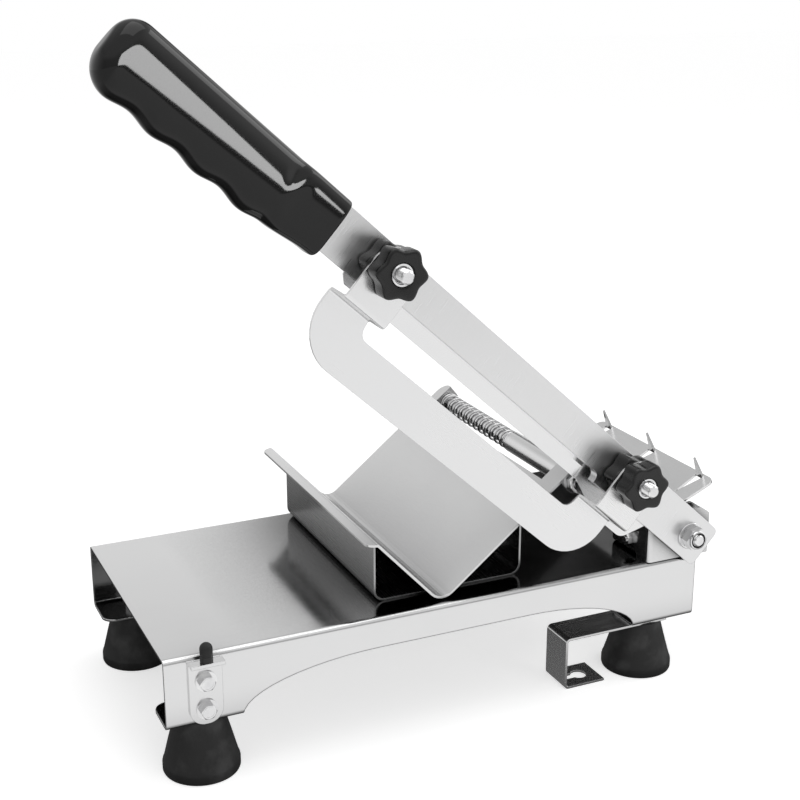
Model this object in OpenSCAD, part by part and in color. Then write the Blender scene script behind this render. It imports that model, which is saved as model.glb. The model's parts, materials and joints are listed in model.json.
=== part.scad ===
// Hand-operated frozen meat slicer: a long blade on an arm swings down beside a V-shaped trough.
// Lengths are in millimetres. Most modules are drawn with x from the base's left end, y from the
// base's middle line and z from the base's top, and placed() moves them to the part's own origin,
// which lies on the table under the middle of the whole slicer.

/* [Base] */
// Length of the base
base_l = 340; // [330:1:360]
// Width of the base over its two walls
base_w = 170; // [166:1:180]
// Height of the base's walls
base_h = 41.6; // [38:0.2:50]
// Thickness of the base's sheet
sheet_t = 1.5; // [1.2:0.1:2]
// Inside radius of the base's bends
base_bend_r = 1.6; // [1:0.1:3]
// Width of the in-turned foot tabs
foot_tab_w = 29.2; // [27:0.1:36]
// Length of the foot tabs
foot_tab_l = 43.5; // [40:0.5:50]
// Radius of the foot tabs' inner corners
foot_tab_r = 8; // [2:0.5:12]
// Height of the wall that is left over the arch
arch_wall_h = 18.2; // [14:0.2:30]
// Length of the arch's curve at the left end
arch_left_l = 82; // [40:1:100]
// Length of the arch's curve at the right end
arch_right_l = 74; // [40:1:100]

/* [Feet] */
// Height of the feet
foot_h = 34.1; // [28:0.1:45]
// Radius of a foot at the table
foot_r = 21.7; // [18:0.1:24]
// Radius of a foot at its top
foot_top_r = 13.5; // [12:0.1:17]
// Height of the straight rim at a foot's bottom
foot_rim_h = 6.2; // [3:0.1:10]
// Distance of the left feet from the base's left end
foot_in_left = 22.5; // [20:0.5:26]
// Distance of the right feet from the base's right end
foot_in_right = 30.8; // [28:0.1:34]
// Distance of the feet from the walls' outer faces
foot_in_side = 14.3; // [13:0.1:16]
// Radius of the foot screws
foot_screw_r = 3; // [2.5:0.5:4]
// Depth of the recess for a foot screw's head
foot_recess_h = 5.5; // [4.5:0.1:8]
// Radius of the recess for a foot screw's head
foot_recess_r = 8; // [7.5:0.5:10]

/* [Bench bracket] */
// Width of the bench bracket's strip
bench_w = 23; // [20:0.5:26]
// Thickness of the bench bracket's strip
bench_t = 1.5; // [1:0.1:2]
// Distance of the bench bracket's leg from the foot's middle
bench_reach = 59.2; // [50:0.5:65]
// Length of the bench bracket's lower flange
bench_foot_l = 28.5; // [26:0.5:34]
// Distance of the keyhole from the leg
bench_hole_in = 16.8; // [14:0.1:20]
// Radius of the keyhole's round end
bench_hole_r = 5; // [4:0.1:6]
// Width of the keyhole's slot
bench_slot_w = 5.5; // [4:0.1:7]
// Length of the keyhole's slot from the round end's middle
bench_slot_l = 11; // [7:0.5:12]

/* [Pivot] */
// Distance of the arm's pivot from the base's right end
pivot_in = 9.5; // [6:0.5:14]
// Height of the arm's pivot over the base's top
pivot_z = 15.9; // [14:0.1:20]
// Radius of the pivot bolt
pivot_r = 4; // [3:0.5:5]
// Length of the pivot bracket's ears
ear_l = 44; // [40:1:50]
// Height of the pivot bracket's ears
ear_h = 31; // [29:0.5:36]
// Thickness of the pivot bracket's sheet
ear_t = 2; // [1.5:0.1:2.5]
// Gap between the pivot bracket's ears
ear_gap = 7.2; // [6:0.1:8]
// How far the ears stand out past the base's right end
ear_over = 8; // [4:0.5:12]
// Distance of the pivot bracket's far end from the near wall
web_l = 39; // [35:0.5:43]
// Height of the pivot bracket's web behind the ear
web_h = 14.8; // [13:0.1:15]
// Length of the pivot bracket's flange on the base's top
ear_flange_l = 32; // [30:0.5:36]
// Width of the angle's leg behind the web
angle_leg_w = 17; // [15:0.5:20]
// Thickness of the spacer washer between the ear and the arm
spacer_t = 1.6; // [1:0.1:2.5]
// Radius of the washers on the pivot
washer_r = 8.4; // [7.5:0.1:9]
// Height of the pivot lock nut
lock_nut_h = 8; // [6.5:0.5:9]
// Distance of the web's bolt from the far ear
web_bolt_in = 9; // [8:0.5:12]
// Depth of the web's bolt under the web's top
web_bolt_drop = 6; // [5:0.5:8]

/* [Stop] */
// Distance of the stop from the base's left end
stop_in = 22.3; // [20:0.1:26]
// Width of the stop bracket
stop_w = 18.7; // [16:0.1:22]
// Height of the stop bracket's lower end over the wall's lower edge
stop_low = 0.9; // [0:0.1:2]
// Thickness of the stop bracket
stop_t = 2; // [1.5:0.1:2.5]
// How far the stop bracket's tab stands out from the wall
stop_reach = 8.6; // [8:0.1:11]
// Depth of the tab's top under the base's top
stop_drop = 1.7; // [1:0.1:3]
// Height of the rubber cap over the tab
cap_h = 11.1; // [9:0.1:11.2]
// Radius of the rubber cap
cap_r = 3.55; // [3:0.05:4]
// Height of the lower stop bolt over the wall's lower edge
stop_bolt_low = 10; // [9:0.1:11]
// Radius of the stop bolts' washers
stop_washer_r = 5.9; // [5:0.1:6]
// Thickness of the stop bolts' heads
stop_head_h = 3.5; // [2.5:0.1:4]

/* [Arm] */
// Angle of the arm over the horizontal as photographed
arm_rest = 42; // [20:1:60]
// Thickness of the arm bar
bar_t = 3; // [2.5:0.1:4]
// Height of the arm bar over the pivot's line
bar_up = 13.8; // [12:0.1:16]
// Depth of the arm bar under the pivot's line
bar_down = 13.5; // [12:0.1:16]
// Length of the arm bar behind the pivot
bar_back = 16.4; // [14:0.2:20]
// Length of the arm bar to the start of its relief
relief_start = 84; // [80:1:90]
// Length of the arm bar to the end of its relief
relief_end = 264; // [250:1:268]
// Depth of the arm bar under the pivot's line along its relief
relief_down = 7.8; // [7:0.1:10]
// Length of the arm bar to the end of its tang in the grip
tang_end = 440; // [400:1:445]
// Half width of the tang
tang_half = 11; // [8:0.5:11.5]

/* [Blade] */
// Thickness of the blade
blade_t = 1.5; // [1:0.1:2]
// Distance of the blade's heel end from the pivot
blade_start = 30.7; // [30.5:0.1:34]
// Distance of the blade's front end from the pivot
blade_end = 291; // [288:1:296]
// Distance of the cutting edge under the pivot's line
edge_down = 18.3; // [17:0.1:20]
// Depth of the blade's heel under the pivot's line
heel_down = 28.2; // [24:0.1:30]
// Start of the ground bevel under the pivot's line
bevel_down = 10.4; // [9:0.1:14]
// Thickness of the blade left at the cutting edge
edge_t = 0.3; // [0.2:0.1:0.6]

/* [Grip] */
// Distance of the grip's collar from the pivot
collar_start = 314; // [310:1:320]
// Length of the slimmer collar
collar_l = 9; // [6:1:14]
// Distance of the grip's end from the pivot
grip_end = 457.2; // [450:0.2:470]
// Thickness of the grip
grip_t = 26; // [22:0.5:30]
// Height of the grip over the pivot's line
grip_up = 15.4; // [14:0.1:18]
// Mean depth of the grip under the pivot's line
grip_down = 22.8; // [20:0.1:26]
// Height of the finger waves, from the mean depth
wave_h = 1.1; // [0.5:0.1:3]
// Distance between two finger waves
wave_l = 28; // [24:0.1:29]
// Number of finger waves
waves = 3.5; // [2.5:1:3.5]
// Length of the grip behind its finger waves
butt_l = 15; // [13:0.1:24]

/* [Guard] */
// Thickness of the guard's sheet
guard_t = 1.5; // [1.2:0.1:2]
// Distance of the guard plate before the blade
slice_gap = 1.1; // [0.6:0.1:2]
// Distance from the guard plate's far face to the tabs' near face
shelf_reach = 16; // [15.5:0.1:18]
// Depth of the guard's lower edge under the pivot's line
guard_down = 59.4; // [52:0.1:64]
// Width of the guard's long strip
guard_strip_w = 24.8; // [20:0.1:30]
// Depth of the shelves' tops under the pivot's line
shelf_down = 23.5; // [20:0.1:26]
// How far the guard plate reaches past the lower stud
guard_before = 12.5; // [11:0.1:16]
// How far the guard plate reaches past the upper stud
guard_after = 15; // [12:0.1:18]
// Width of the guard plate's two arms
guard_arm_w = 28.7; // [24:0.1:34]
// Radius of the guard's lower corner by the pivot
guard_low_r = 26; // [20:1:30]
// Radius of the guard's lower corner by the grip
guard_high_r = 28; // [20:1:30]
// Inside radius of the guard's bends
guard_bend_r = 1.2; // [0.8:0.1:2]
// Width of the guard's tabs
tab_w = 29; // [24:0.1:32]
// Distance of the tabs' middles behind their studs
tab_back = 2; // [0:0.1:3]

/* [Studs and knobs] */
// Radius of the studs
stud_r = 4; // [3:0.5:4.5]
// Distance of the lower stud from the pivot
stud_low_s = 69.8; // [68:0.1:72]
// Distance of the upper stud from the pivot
stud_high_s = 277.7; // [276:0.1:279]
// Height of the studs over the pivot's line
stud_up = 1.4; // [0:0.1:3]
// Length of the studs from the blade's far face
stud_l = 36.6; // [33:0.1:40]
// Radius of the knobs over their lobes
knob_r = 14.8; // [13:0.1:16]
// Thickness of the knobs
knob_h = 12; // [10:0.1:12]
// Number of a knob's lobes
knob_lobes = 6; // [5:1:8]
// Depth of the hollows between a knob's lobes
knob_hollow = 2.6; // [1.5:0.1:3.2]
// Radius of the threaded insert in a knob
insert_r = 6.4; // [5.5:0.1:8]
// Depth of the insert's ends under the knob's faces
insert_in = 1; // [0.5:0.1:2]

/* [Tray and trough] */
// Distance of the tray's right wall from the base's right end
tray_in = 114; // [110:1:118]
// Width of the tray over its walls
tray_w = 96; // [90:1:100]
// Distance of the tray's near end from the near wall
tray_near_in = 19.8; // [15:0.2:25]
// Distance of the tray's far end from the base's middle
tray_far = 78; // [70:1:85]
// Thickness of the tray's sheet
tray_t = 1.2; // [1:0.1:1.5]
// Outside radius of the tray's bends
tray_bend_r = 6.8; // [4:0.1:8]
// Thickness of the trough's sheet
trough_t = 1.5; // [1.2:0.1:2]
// Inside radius of the trough's valley
valley_r = 8.5; // [6:0.1:12]
// Distance of the valley's middle from the tray's right wall
valley_in = 58.6; // [56:0.1:61]
// Angle of the trough's left side
left_angle = 47.2; // [44:0.1:50]
// Angle of the trough's right side
right_angle = 38.7; // [37:0.1:41]
// Length of the trough's left side
left_l = 48.7; // [46:0.1:54]
// Length of the trough's right side
right_l = 106.2; // [102:0.1:110]
// Width of the trough's lip
lip_w = 6.2; // [4:0.1:8]
// Distance of the trough's near end from the near wall
trough_in = 6; // [5:0.5:9]
// Distance of the trough's far end from the base's middle
trough_far = 98; // [96:0.5:104]
// Distance of the rod opening's near end from the near wall
opening_in = 21; // [19:0.5:23]
// Distance of the rod opening's far end from the base's middle
opening_far = 89; // [85:0.5:92]
// Width of the rod opening
opening_w = 20.4; // [18:0.1:24]
// Radius of the trough's high far corner
trough_corner_r = 8; // [4:0.5:8]
// Radius of the ears that hold the rod
rod_ear_r = 7.8; // [7:0.1:7.8]

/* [Rod, spring and presser] */
// Radius of the guide rod's threaded ends
rod_r = 4; // [3:0.5:4.5]
// Radius of the guide rod between its ends
rod_body_r = 4.55; // [4.4:0.05:4.6]
// Depth of the rod's middle under the trough's right side
rod_drop = 8.2; // [8.1:0.1:10]
// Distance of the sleeve's near end from the near wall
sleeve_in = 22; // [21.5:0.5:25]
// Length of the presser's sleeve
sleeve_l = 59.5; // [40:0.5:62]
// Outside radius of the sleeve
sleeve_r = 6.75; // [6:0.05:7]
// Thickness of the collar between the sleeve and the spring
collar_t = 1.5; // [1:0.1:3]
// Thickness of the spring's wire
wire_d = 1.5; // [1.2:0.1:1.5]
// Outside radius of the spring
spring_r = 6.6; // [6.6:0.05:6.65]
// Number of the spring's curls
curls = 13.5; // [10:0.5:16]
// Distance between the curls at the spring's closed ends
closed_pitch = 2.2; // [2:0.1:3]
// Thickness of the presser's sheet
presser_t = 1.5; // [1.2:0.1:2]
// Distance of the presser's plate from the rod
presser_drop = 63.1; // [60:0.1:64]
// Distance of the presser's bend from the rod, along the plate
presser_bend_x = 31; // [28:0.5:36]
// Gap between the resting presser and the pivot bracket's web
rest_gap = 0.4; // [0.3:0.1:1]
// Distance of the presser plate's long edge from the rod, along the plate
presser_l = 92.5; // [80:0.5:95]
// Distance of the presser plate's near end from the near wall
presser_in = 17; // [17:0.5:21]
// Width of the presser's plate, across the base
presser_w = 132; // [116:1:140]
// Inside radius of the presser's bend
presser_bend_r = 1; // [0.5:0.1:2]
// Radius of the presser plate's corners
presser_corner_r = 5.5; // [3:0.5:6]
// Number of spikes
spikes = 3; // [2:1:4]
// Distance of the outer spikes from the plate's ends
spike_end = 13; // [9:0.5:16]
// Height of the spikes
spike_h = 14.1; // [10:0.1:18]
// Width of a spike at its foot
spike_w = 6.8; // [5:0.1:10]
// Distance of the spikes from the plate's long edge
spike_in = 2.8; // [2.5:0.1:12]

/* [Hidden] */
$fn = 64;

// How far a cutter runs past what it cuts
past = 1;
// Radial clearance of a screw, bolt or stud in a hole that it is fixed in
fit = 0.05;
// Radial clearance of a shaft in a hole that turns or slides on it
running_fit = 0.05;
// Radial clearance of a hole that a stud only passes through
loose_fit = 0.3;
// Gap between flat faces that move past each other
running_gap = 0.1;

// The middle of the whole slicer, from the base's left end and its middle line
centre_x = base_l / 2 + 4;
centre_y = 12;

// Places across the base: out grows from the middle line towards the near side
wall_out = base_w / 2;
web_end = wall_out - web_l;
tray_near = wall_out - tray_near_in;
trough_near = wall_out - trough_in;
opening_near = wall_out - opening_in;
sleeve_near = wall_out - sleeve_in;
presser_near = wall_out - presser_in;
ear_out = wall_out + 0.2;
bar_out = ear_out + spacer_t + running_gap;
bar_near_out = bar_out + bar_t;
blade_out = bar_out - blade_t;
guard_out = bar_out + slice_gap;
tab_near_out = guard_out + shelf_reach;
rear_knob_out = tab_near_out - guard_t - running_gap - knob_h;
front_knob_out = tab_near_out + running_gap;

pivot_x = base_l - pivot_in;
ear_x = base_l + ear_over - ear_l;
far_ear_out = ear_out - 2 * ear_t - ear_gap;

// Hexagon nuts and screw heads for each screw radius
function nut_width(r) = r * 3.2;
function nut_height(r) = r * 1.6;
function pan_radius(r) = r * 1.9;
function pan_height(r) = r * 1.3;
small_screw_r = 2;
small_head_h = 2.8;
medium_screw_r = 2.5;

foot_x = [foot_in_left, base_l - foot_in_right];
foot_y = wall_out - foot_in_side;
foot_bottom_z = -base_h - foot_h;

// The tray's left wall and the middle of the trough's valley
tray_x = base_l - tray_in - tray_w;
valley_x = base_l - tray_in - valley_in;

// The trough's right side: its top face starts at the valley's edge and climbs at right_angle
valley_z = tray_t + trough_t + valley_r;
rod_u = right_l - rod_ear_r;
rod_x = valley_x + (valley_r + rod_drop) * sin(right_angle) + rod_u * cos(right_angle);
rod_z = valley_z - (valley_r + rod_drop) * cos(right_angle) + rod_u * sin(right_angle);
thin_nut_h = 4;

sleeve_far = sleeve_l - sleeve_near;
spring_start = sleeve_far + collar_t;
spring_l = opening_far - spring_start;

// A bent corner's points: from p round q to s with radius r
function unit(v) = v / norm(v);
function short_turn(a) = a > 180 ? a - 360 : a < -180 ? a + 360 : a;
function corner(p, q, s, r, steps) =
    r == 0 ? [q] :
    let (
        u = unit(p - q),
        v = unit(s - q),
        half = acos(u * v) / 2,
        c = q + unit(u + v) * r / sin(half),
        first = q + u * r / tan(half) - c,
        last = q + v * r / tan(half) - c,
        a = atan2(first.y, first.x),
        turn = short_turn(atan2(last.y, last.x) - a)
    )
    [for (i = [0:steps]) c + r * [cos(a + turn * i / steps), sin(a + turn * i / steps)]];

// An outline whose corners [x, y, radius] are rounded
function flat(p) = [p.x, p.y];
function rounded(pts, steps = 6) =
    let (k = len(pts))
    [for (i = [0:k - 1])
        each corner(flat(pts[(i + k - 1) % k]), flat(pts[i]), flat(pts[(i + 1) % k]), pts[i].z, steps)];

// A bent sheet's outline. The path holds the sharp corners of its outside or lower face, the sheet
// lies to the left of the path, and bends is the inside radius at each of the path's points.
function left_of(p, q) = let (d = unit(q - p)) [-d.y, d.x];
function beside(path, i, t) =
    i == 0 ? path[0] + t * left_of(path[0], path[1]) :
    i == len(path) - 1 ? path[i] + t * left_of(path[i - 1], path[i]) :
    let (a = left_of(path[i - 1], path[i]), b = left_of(path[i], path[i + 1]))
    path[i] + t * (a + b) / (1 + a * b);
function turns_left(path, i) = cross(path[i] - path[i - 1], path[i + 1] - path[i]) > 0;
function edge_point(path, bends, t, i, inner) =
    let (p = inner ? beside(path, i, t) : path[i])
    [p.x, p.y, bends[i] == 0 ? 0 : bends[i] + (turns_left(path, i) == inner ? 0 : t)];

module bent_sheet(path, t, bends) {
    last = len(path) - 1;
    polygon(rounded(concat(
        [for (i = [0:last]) edge_point(path, bends, t, i, false)],
        [for (i = [last:-1:0]) edge_point(path, bends, t, i, true)]
    )));
}

// The same inside radius at each bend of a path with n points
function same_bends(n, r) = [for (i = [0:n - 1]) i == 0 || i == n - 1 ? 0 : r];

// What a rounded corner cuts off a square corner at the origin that opens to +x and +y. Its arc
// runs out just past the two edges, so that it crosses them and isn't tangent to them.
run_out = 0.05;
module corner_waste(r) {
    difference() {
        translate([-past, -past]) square(r + past);
        translate([r - run_out, r - run_out]) circle(r);
    }
}

// Moves a shape from the base's own places to the slicer's origin
module placed() translate([-centre_x, centre_y, -foot_bottom_z]) children();

// Extrudes an outline drawn in x and z, from y0 over h
module across(y0, h) translate([0, y0 + h, 0]) rotate([90, 0, 0]) linear_extrude(h) children();

// Extrudes an outline drawn in y and z, from x0 over h
module along(x0, h) translate([x0, 0, 0]) rotate([90, 0, 90]) linear_extrude(h) children();

// The arm's frame: x along the arm from the pivot, y outwards to the near side, z square to both
module arm_frame() translate([pivot_x, 0, pivot_z]) rotate([0, arm_rest, 0]) rotate([0, 0, 180]) children();

// The presser at rest leans its web on the upper corner of the pivot bracket's web. In the presser's
// frame, the web's lower face runs from web_foot beside the rod to bend_point.
bend_point = [presser_bend_x, -presser_drop];
web_foot = -presser_t / 2 * left_of([0, 0], bend_point);
web_way = bend_point - web_foot;
to_corner = [ear_x + ear_t - rod_x, web_h - rod_z];
presser_rest = atan2(to_corner.y, to_corner.x) - atan2(web_way.y, web_way.x)
    + asin((presser_t / 2 + rest_gap) / norm(to_corner));

// The presser's frame: the rod's middle line is y, the plate runs along x under it
module presser_frame() translate([rod_x, 0, rod_z]) rotate([0, -presser_rest, 0]) children();

// The trough's right side in x and z: x climbs along its top face, y stands square to it
module right_side() translate([valley_x, valley_z]) rotate(right_angle) translate([0, -valley_r]) children();

module hexagon(r) circle(nut_width(r) / sqrt(3), $fn = 6);

module hex_nut(r, h) {
    linear_extrude(h) difference() {
        hexagon(r);
        circle(r + fit);
    }
}

module ring(outer, inner, h) {
    linear_extrude(h) difference() {
        circle(outer);
        circle(inner);
    }
}

// A pan head screw that points down, with the underside of its head at the origin
module pan_screw(r, l) {
    cylinder(h = pan_height(r), r1 = pan_radius(r), r2 = pan_radius(r) * 0.7);
    translate([0, 0, -l]) cylinder(h = l, r = r);
}

// A hexagon bolt that points down, with the underside of its head at the origin
module hex_bolt(r, l, head_h) {
    linear_extrude(head_h) hexagon(r);
    translate([0, 0, -l]) cylinder(h = l, r = r);
}

// Base shell
module arch_outline() {
    rise = base_h - arch_wall_h;
    steps = 12;
    polygon(concat(
        [[foot_tab_l, -base_h - past]],
        [for (i = [0:steps])
            [foot_tab_l + arch_left_l * (1 - cos(90 * i / steps)), -base_h + rise * sin(90 * i / steps)]],
        [for (i = [steps:-1:0])
            [base_l - foot_tab_l - arch_right_l * (1 - cos(90 * i / steps)),
                -base_h + rise * sin(90 * i / steps)]],
        [[base_l - foot_tab_l, -base_h - past]]
    ));
}

module foot_tab_corners() {
    // Place along the base, and the turns that open the far and the near corner towards their tabs
    ends = [[0, 0, -90], [foot_tab_l, 90, 180], [base_l - foot_tab_l, 0, -90], [base_l, 90, 180]];
    for (end = ends, far = [true, false])
        translate([end[0], (far ? 1 : -1) * (wall_out - foot_tab_w), -base_h - past])
            rotate(far ? end[1] : end[2]) linear_extrude(sheet_t + 2 * past) corner_waste(foot_tab_r);
}

tray_screw_in = [13, 44];
tray_screw_x = [tray_x + tray_screw_in.x, tray_x + tray_w - tray_screw_in.x];
tray_screw_y = [tray_screw_in.y - tray_near, tray_far - tray_screw_in.y];
ear_bend_r = 1.2;
web_bolt_y = web_bolt_in - far_ear_out;
web_bolt_z = web_h - web_bolt_drop;
// Distances of the flange's screws from the web and from the bracket's far end
ear_screw_in = [12, 25];
ear_screw_end = 10;
ear_screw_x = [for (x = ear_screw_in) ear_x + x];
ear_screw_y = -web_end - ear_screw_end;
// The upper stop bolt's washer lies midway between the lower one and the tab
stop_low_z = stop_bolt_low - base_h;
stop_free = -stop_drop - stop_t - stop_low_z - 3 * stop_washer_r;
stop_bolt_z = [stop_low_z + 2 * stop_washer_r + stop_free / 2, stop_low_z];
// Radius of the stop bracket's rounded lower end
stop_end_r = stop_w / 2 - 0.5;

module base_shell() color("gainsboro") placed() {
    tab_edge = wall_out - foot_tab_w;
    difference() {
        along(0, base_l) bent_sheet([
            [tab_edge, -base_h], [wall_out, -base_h], [wall_out, 0],
            [-wall_out, 0], [-wall_out, -base_h], [-tab_edge, -base_h]
        ], sheet_t, same_bends(6, base_bend_r));
        across(-wall_out - past, base_w + 2 * past) arch_outline();
        foot_tab_corners();
        for (x = foot_x, y = [-foot_y, foot_y])
            translate([x, y, -base_h - past]) cylinder(h = sheet_t + 2 * past, r = foot_screw_r + fit);
        for (x = tray_screw_x, y = tray_screw_y)
            translate([x, y, -sheet_t - past]) cylinder(h = sheet_t + 2 * past, r = small_screw_r + fit);
        for (x = ear_screw_x)
            translate([x, ear_screw_y, -sheet_t - past])
                cylinder(h = sheet_t + 2 * past, r = small_screw_r + fit);
        across(-wall_out - past, sheet_t + 2 * past) for (z = stop_bolt_z)
            translate([stop_in, z]) circle(medium_screw_r + fit);
    }
}

// Feet and what holds them
module foot(x, y, top_z) {
    h = top_z - foot_bottom_z;
    color("black") placed() translate([x, y, foot_bottom_z]) difference() {
        rotate_extrude() polygon([[0, 0], [foot_r, 0], [foot_r, foot_rim_h], [foot_top_r, h], [0, h]]);
        translate([0, 0, -past]) cylinder(h = foot_recess_h + past, r = foot_recess_r);
        cylinder(h = h + past, r = foot_screw_r + fit);
    }
}

module foot_front_left() foot(foot_x[0], -foot_y, -base_h);
module foot_rear_left() foot(foot_x[0], foot_y, -base_h);
module foot_front_right() foot(foot_x[1], -foot_y, -base_h - bench_t);
module foot_rear_right() foot(foot_x[1], foot_y, -base_h);

module foot_screws() color("silver") placed() {
    for (x = foot_x, y = [-foot_y, foot_y])
        translate([x, y, foot_bottom_z + foot_recess_h]) mirror([0, 0, 1])
            pan_screw(foot_screw_r, foot_h - foot_recess_h + sheet_t + nut_height(foot_screw_r) + past);
}

module foot_nuts() color("silver") placed() {
    for (x = foot_x, y = [-foot_y, foot_y])
        translate([x, y, sheet_t - base_h]) hex_nut(foot_screw_r, nut_height(foot_screw_r));
}

// Bench bracket, clamped between the base and the front right foot
module bench_bracket() color("dimgray") placed() {
    leg_x = foot_x[1] - bench_reach;
    difference() {
        across(-foot_y - bench_w / 2, bench_w) bent_sheet([
            [foot_x[1] + foot_top_r, -base_h], [leg_x, -base_h],
            [leg_x, foot_bottom_z], [leg_x + bench_foot_l, foot_bottom_z]
        ], bench_t, same_bends(4, bench_t));
        translate([foot_x[1], -foot_y, -base_h - bench_t - past])
            cylinder(h = bench_t + 2 * past, r = foot_screw_r + fit);
        translate([leg_x + bench_hole_in, -foot_y, foot_bottom_z - past])
            cylinder(h = bench_t + 2 * past, r = bench_hole_r);
        translate([leg_x + bench_hole_in - bench_slot_l, -foot_y - bench_slot_w / 2, foot_bottom_z - past])
            cube([bench_slot_l, bench_slot_w, bench_t + 2 * past]);
    }
}

// Pivot bracket: the near ear, a web across the base and a flange under the web. An angle behind
// the web is the far ear.
// How far the cut at the ears' upper corner reaches back and down, and its corners' radius
ear_cut = [6.5, 4.5];
ear_cut_r = 3;

module ear_outline(from_z) polygon(rounded([
    [ear_x - past, from_z, 0], [ear_x + ear_l, from_z, 0], [ear_x + ear_l, ear_h - ear_cut.y, ear_cut_r],
    [ear_x + ear_l - ear_cut.x, ear_h, ear_cut_r], [ear_x - past, ear_h, 0]
]));

module pivot_bracket() color("gainsboro") placed() {
    flange_start = 1 - far_ear_out;
    difference() {
        union() {
            intersection() {
                linear_extrude(ear_h) bent_sheet([
                    [ear_x, -far_ear_out], [ear_x, -ear_out], [ear_x + ear_l, -ear_out]
                ], ear_t, same_bends(3, ear_bend_r));
                across(-ear_out - past, ear_out) ear_outline(0);
            }
            across(flange_start, -web_end - flange_start) bent_sheet([
                [ear_x, web_h], [ear_x, 0], [ear_x + ear_flange_l, 0]
            ], ear_t, same_bends(3, ear_bend_r));
            translate([ear_x, -far_ear_out - past, 0])
                cube([ear_t, flange_start + far_ear_out + past, web_h]);
        }
        across(-ear_out - past, ear_out) translate([pivot_x, pivot_z]) circle(pivot_r + fit);
        along(ear_x - past, ear_t + 2 * past) translate([web_bolt_y, web_bolt_z]) circle(small_screw_r + fit);
        for (x = ear_screw_x)
            translate([x, ear_screw_y, -past]) cylinder(h = ear_t + 2 * past, r = small_screw_r + fit);
    }
}

// Depth of the angle's leg under the web's top
leg_drop = 1.6;

module pivot_angle() color("gainsboro") placed() {
    corner_x = ear_x + ear_t;
    bottom_z = ear_t + ear_bend_r;
    leg_top = web_h - leg_drop;
    difference() {
        intersection() {
            translate([0, 0, bottom_z]) linear_extrude(ear_h - bottom_z) bent_sheet([
                [corner_x, angle_leg_w - far_ear_out], [corner_x, -far_ear_out - ear_t],
                [ear_x + ear_l, -far_ear_out - ear_t]
            ], ear_t, same_bends(3, ear_bend_r));
            across(-ear_out, ear_out) ear_outline(bottom_z);
        }
        translate([ear_x, -far_ear_out, leg_top]) cube([ear_l, ear_out, ear_h]);
        across(-ear_out, ear_out) translate([pivot_x, pivot_z]) circle(pivot_r + fit);
        along(ear_x, 3 * ear_t) translate([web_bolt_y, web_bolt_z]) circle(small_screw_r + fit);
    }
}

module pivot_web_bolt() color("silver") placed()
    translate([ear_x + 2 * ear_t, web_bolt_y, web_bolt_z]) rotate([0, 90, 0])
        hex_bolt(small_screw_r, 2 * ear_t + nut_height(small_screw_r) + past, small_head_h);

module pivot_web_nut() color("silver") placed()
    translate([ear_x, web_bolt_y, web_bolt_z]) rotate([0, -90, 0])
        hex_nut(small_screw_r, nut_height(small_screw_r));

module pivot_bracket_screws() color("silver") placed() {
    for (x = ear_screw_x) translate([x, ear_screw_y, ear_t])
        pan_screw(small_screw_r, ear_t + sheet_t + nut_height(small_screw_r) + past);
}

module pivot_bracket_nuts() color("silver") placed() {
    for (x = ear_screw_x) translate([x, ear_screw_y, -sheet_t - nut_height(small_screw_r)])
        hex_nut(small_screw_r, nut_height(small_screw_r));
}

pivot_washer_out = bar_near_out + running_gap;
pivot_washer_t = 1.4;
pivot_nut_out = pivot_washer_out + pivot_washer_t;

module pivot_bolt() color("silver") placed() {
    end = pivot_nut_out + lock_nut_h + past;
    head_h = 5.3;
    translate([pivot_x, -far_ear_out, pivot_z]) rotate([-90, 0, 0])
        hex_bolt(pivot_r, end - far_ear_out, head_h);
}

module pivot_spacer() color("silver") placed()
    translate([pivot_x, -ear_out, pivot_z]) rotate([90, 0, 0]) ring(washer_r, pivot_r + fit, spacer_t);

module pivot_washer() color("silver") placed()
    translate([pivot_x, -pivot_washer_out, pivot_z]) rotate([90, 0, 0])
        ring(washer_r, pivot_r + fit, pivot_washer_t);

module pivot_nut() color("silver") placed()
    translate([pivot_x, -pivot_nut_out, pivot_z]) rotate([90, 0, 0]) {
        hex_nut(pivot_r, nut_height(pivot_r));
        translate([0, 0, nut_height(pivot_r)])
            ring(nut_width(pivot_r) / 2 - 0.4, pivot_r + fit, lock_nut_h - nut_height(pivot_r));
    }

// Stop on the near wall, where the arm lands
module stop_bracket() color("gainsboro") placed() {
    difference() {
        along(stop_in - stop_w / 2, stop_w) bent_sheet([
            [-wall_out, stop_low - base_h], [-wall_out, -stop_drop], [-wall_out - stop_reach, -stop_drop]
        ], stop_t, same_bends(3, 1));
        for (side = [0, 90]) across(-wall_out - stop_t - past, stop_t + 2 * past)
            translate([stop_in + (side > 0 ? 1 : -1) * stop_w / 2, stop_low - base_h]) rotate(side)
                corner_waste(stop_end_r);
        across(-wall_out - stop_t - past, stop_t + 2 * past) for (z = stop_bolt_z)
            translate([stop_in, z]) circle(medium_screw_r + fit);
        translate([stop_in, -stop_out, -stop_drop - stop_t - past])
            cylinder(h = stop_t + 2 * past, r = small_screw_r + fit);
    }
}

stop_out = wall_out + stop_reach - cap_r;
stop_washer_t = 1;

module stop_bolts() color("silver") placed() {
    for (z = stop_bolt_z)
        translate([stop_in, -wall_out - stop_t - stop_washer_t, z]) rotate([90, 0, 0])
            hex_bolt(medium_screw_r, stop_washer_t + stop_t + sheet_t + nut_height(medium_screw_r) + past,
                stop_head_h);
}

module stop_washers() color("silver") placed() {
    for (z = stop_bolt_z) translate([stop_in, -wall_out - stop_t, z]) rotate([90, 0, 0])
        ring(stop_washer_r, medium_screw_r + fit, stop_washer_t);
}

module stop_nuts() color("silver") placed() {
    for (z = stop_bolt_z) translate([stop_in, sheet_t - wall_out, z]) rotate([-90, 0, 0])
        hex_nut(medium_screw_r, nut_height(medium_screw_r));
}

// How far the pin stands up in the cap and down out of the tab
pin_in_cap = 6;
pin_under = 1;

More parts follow.
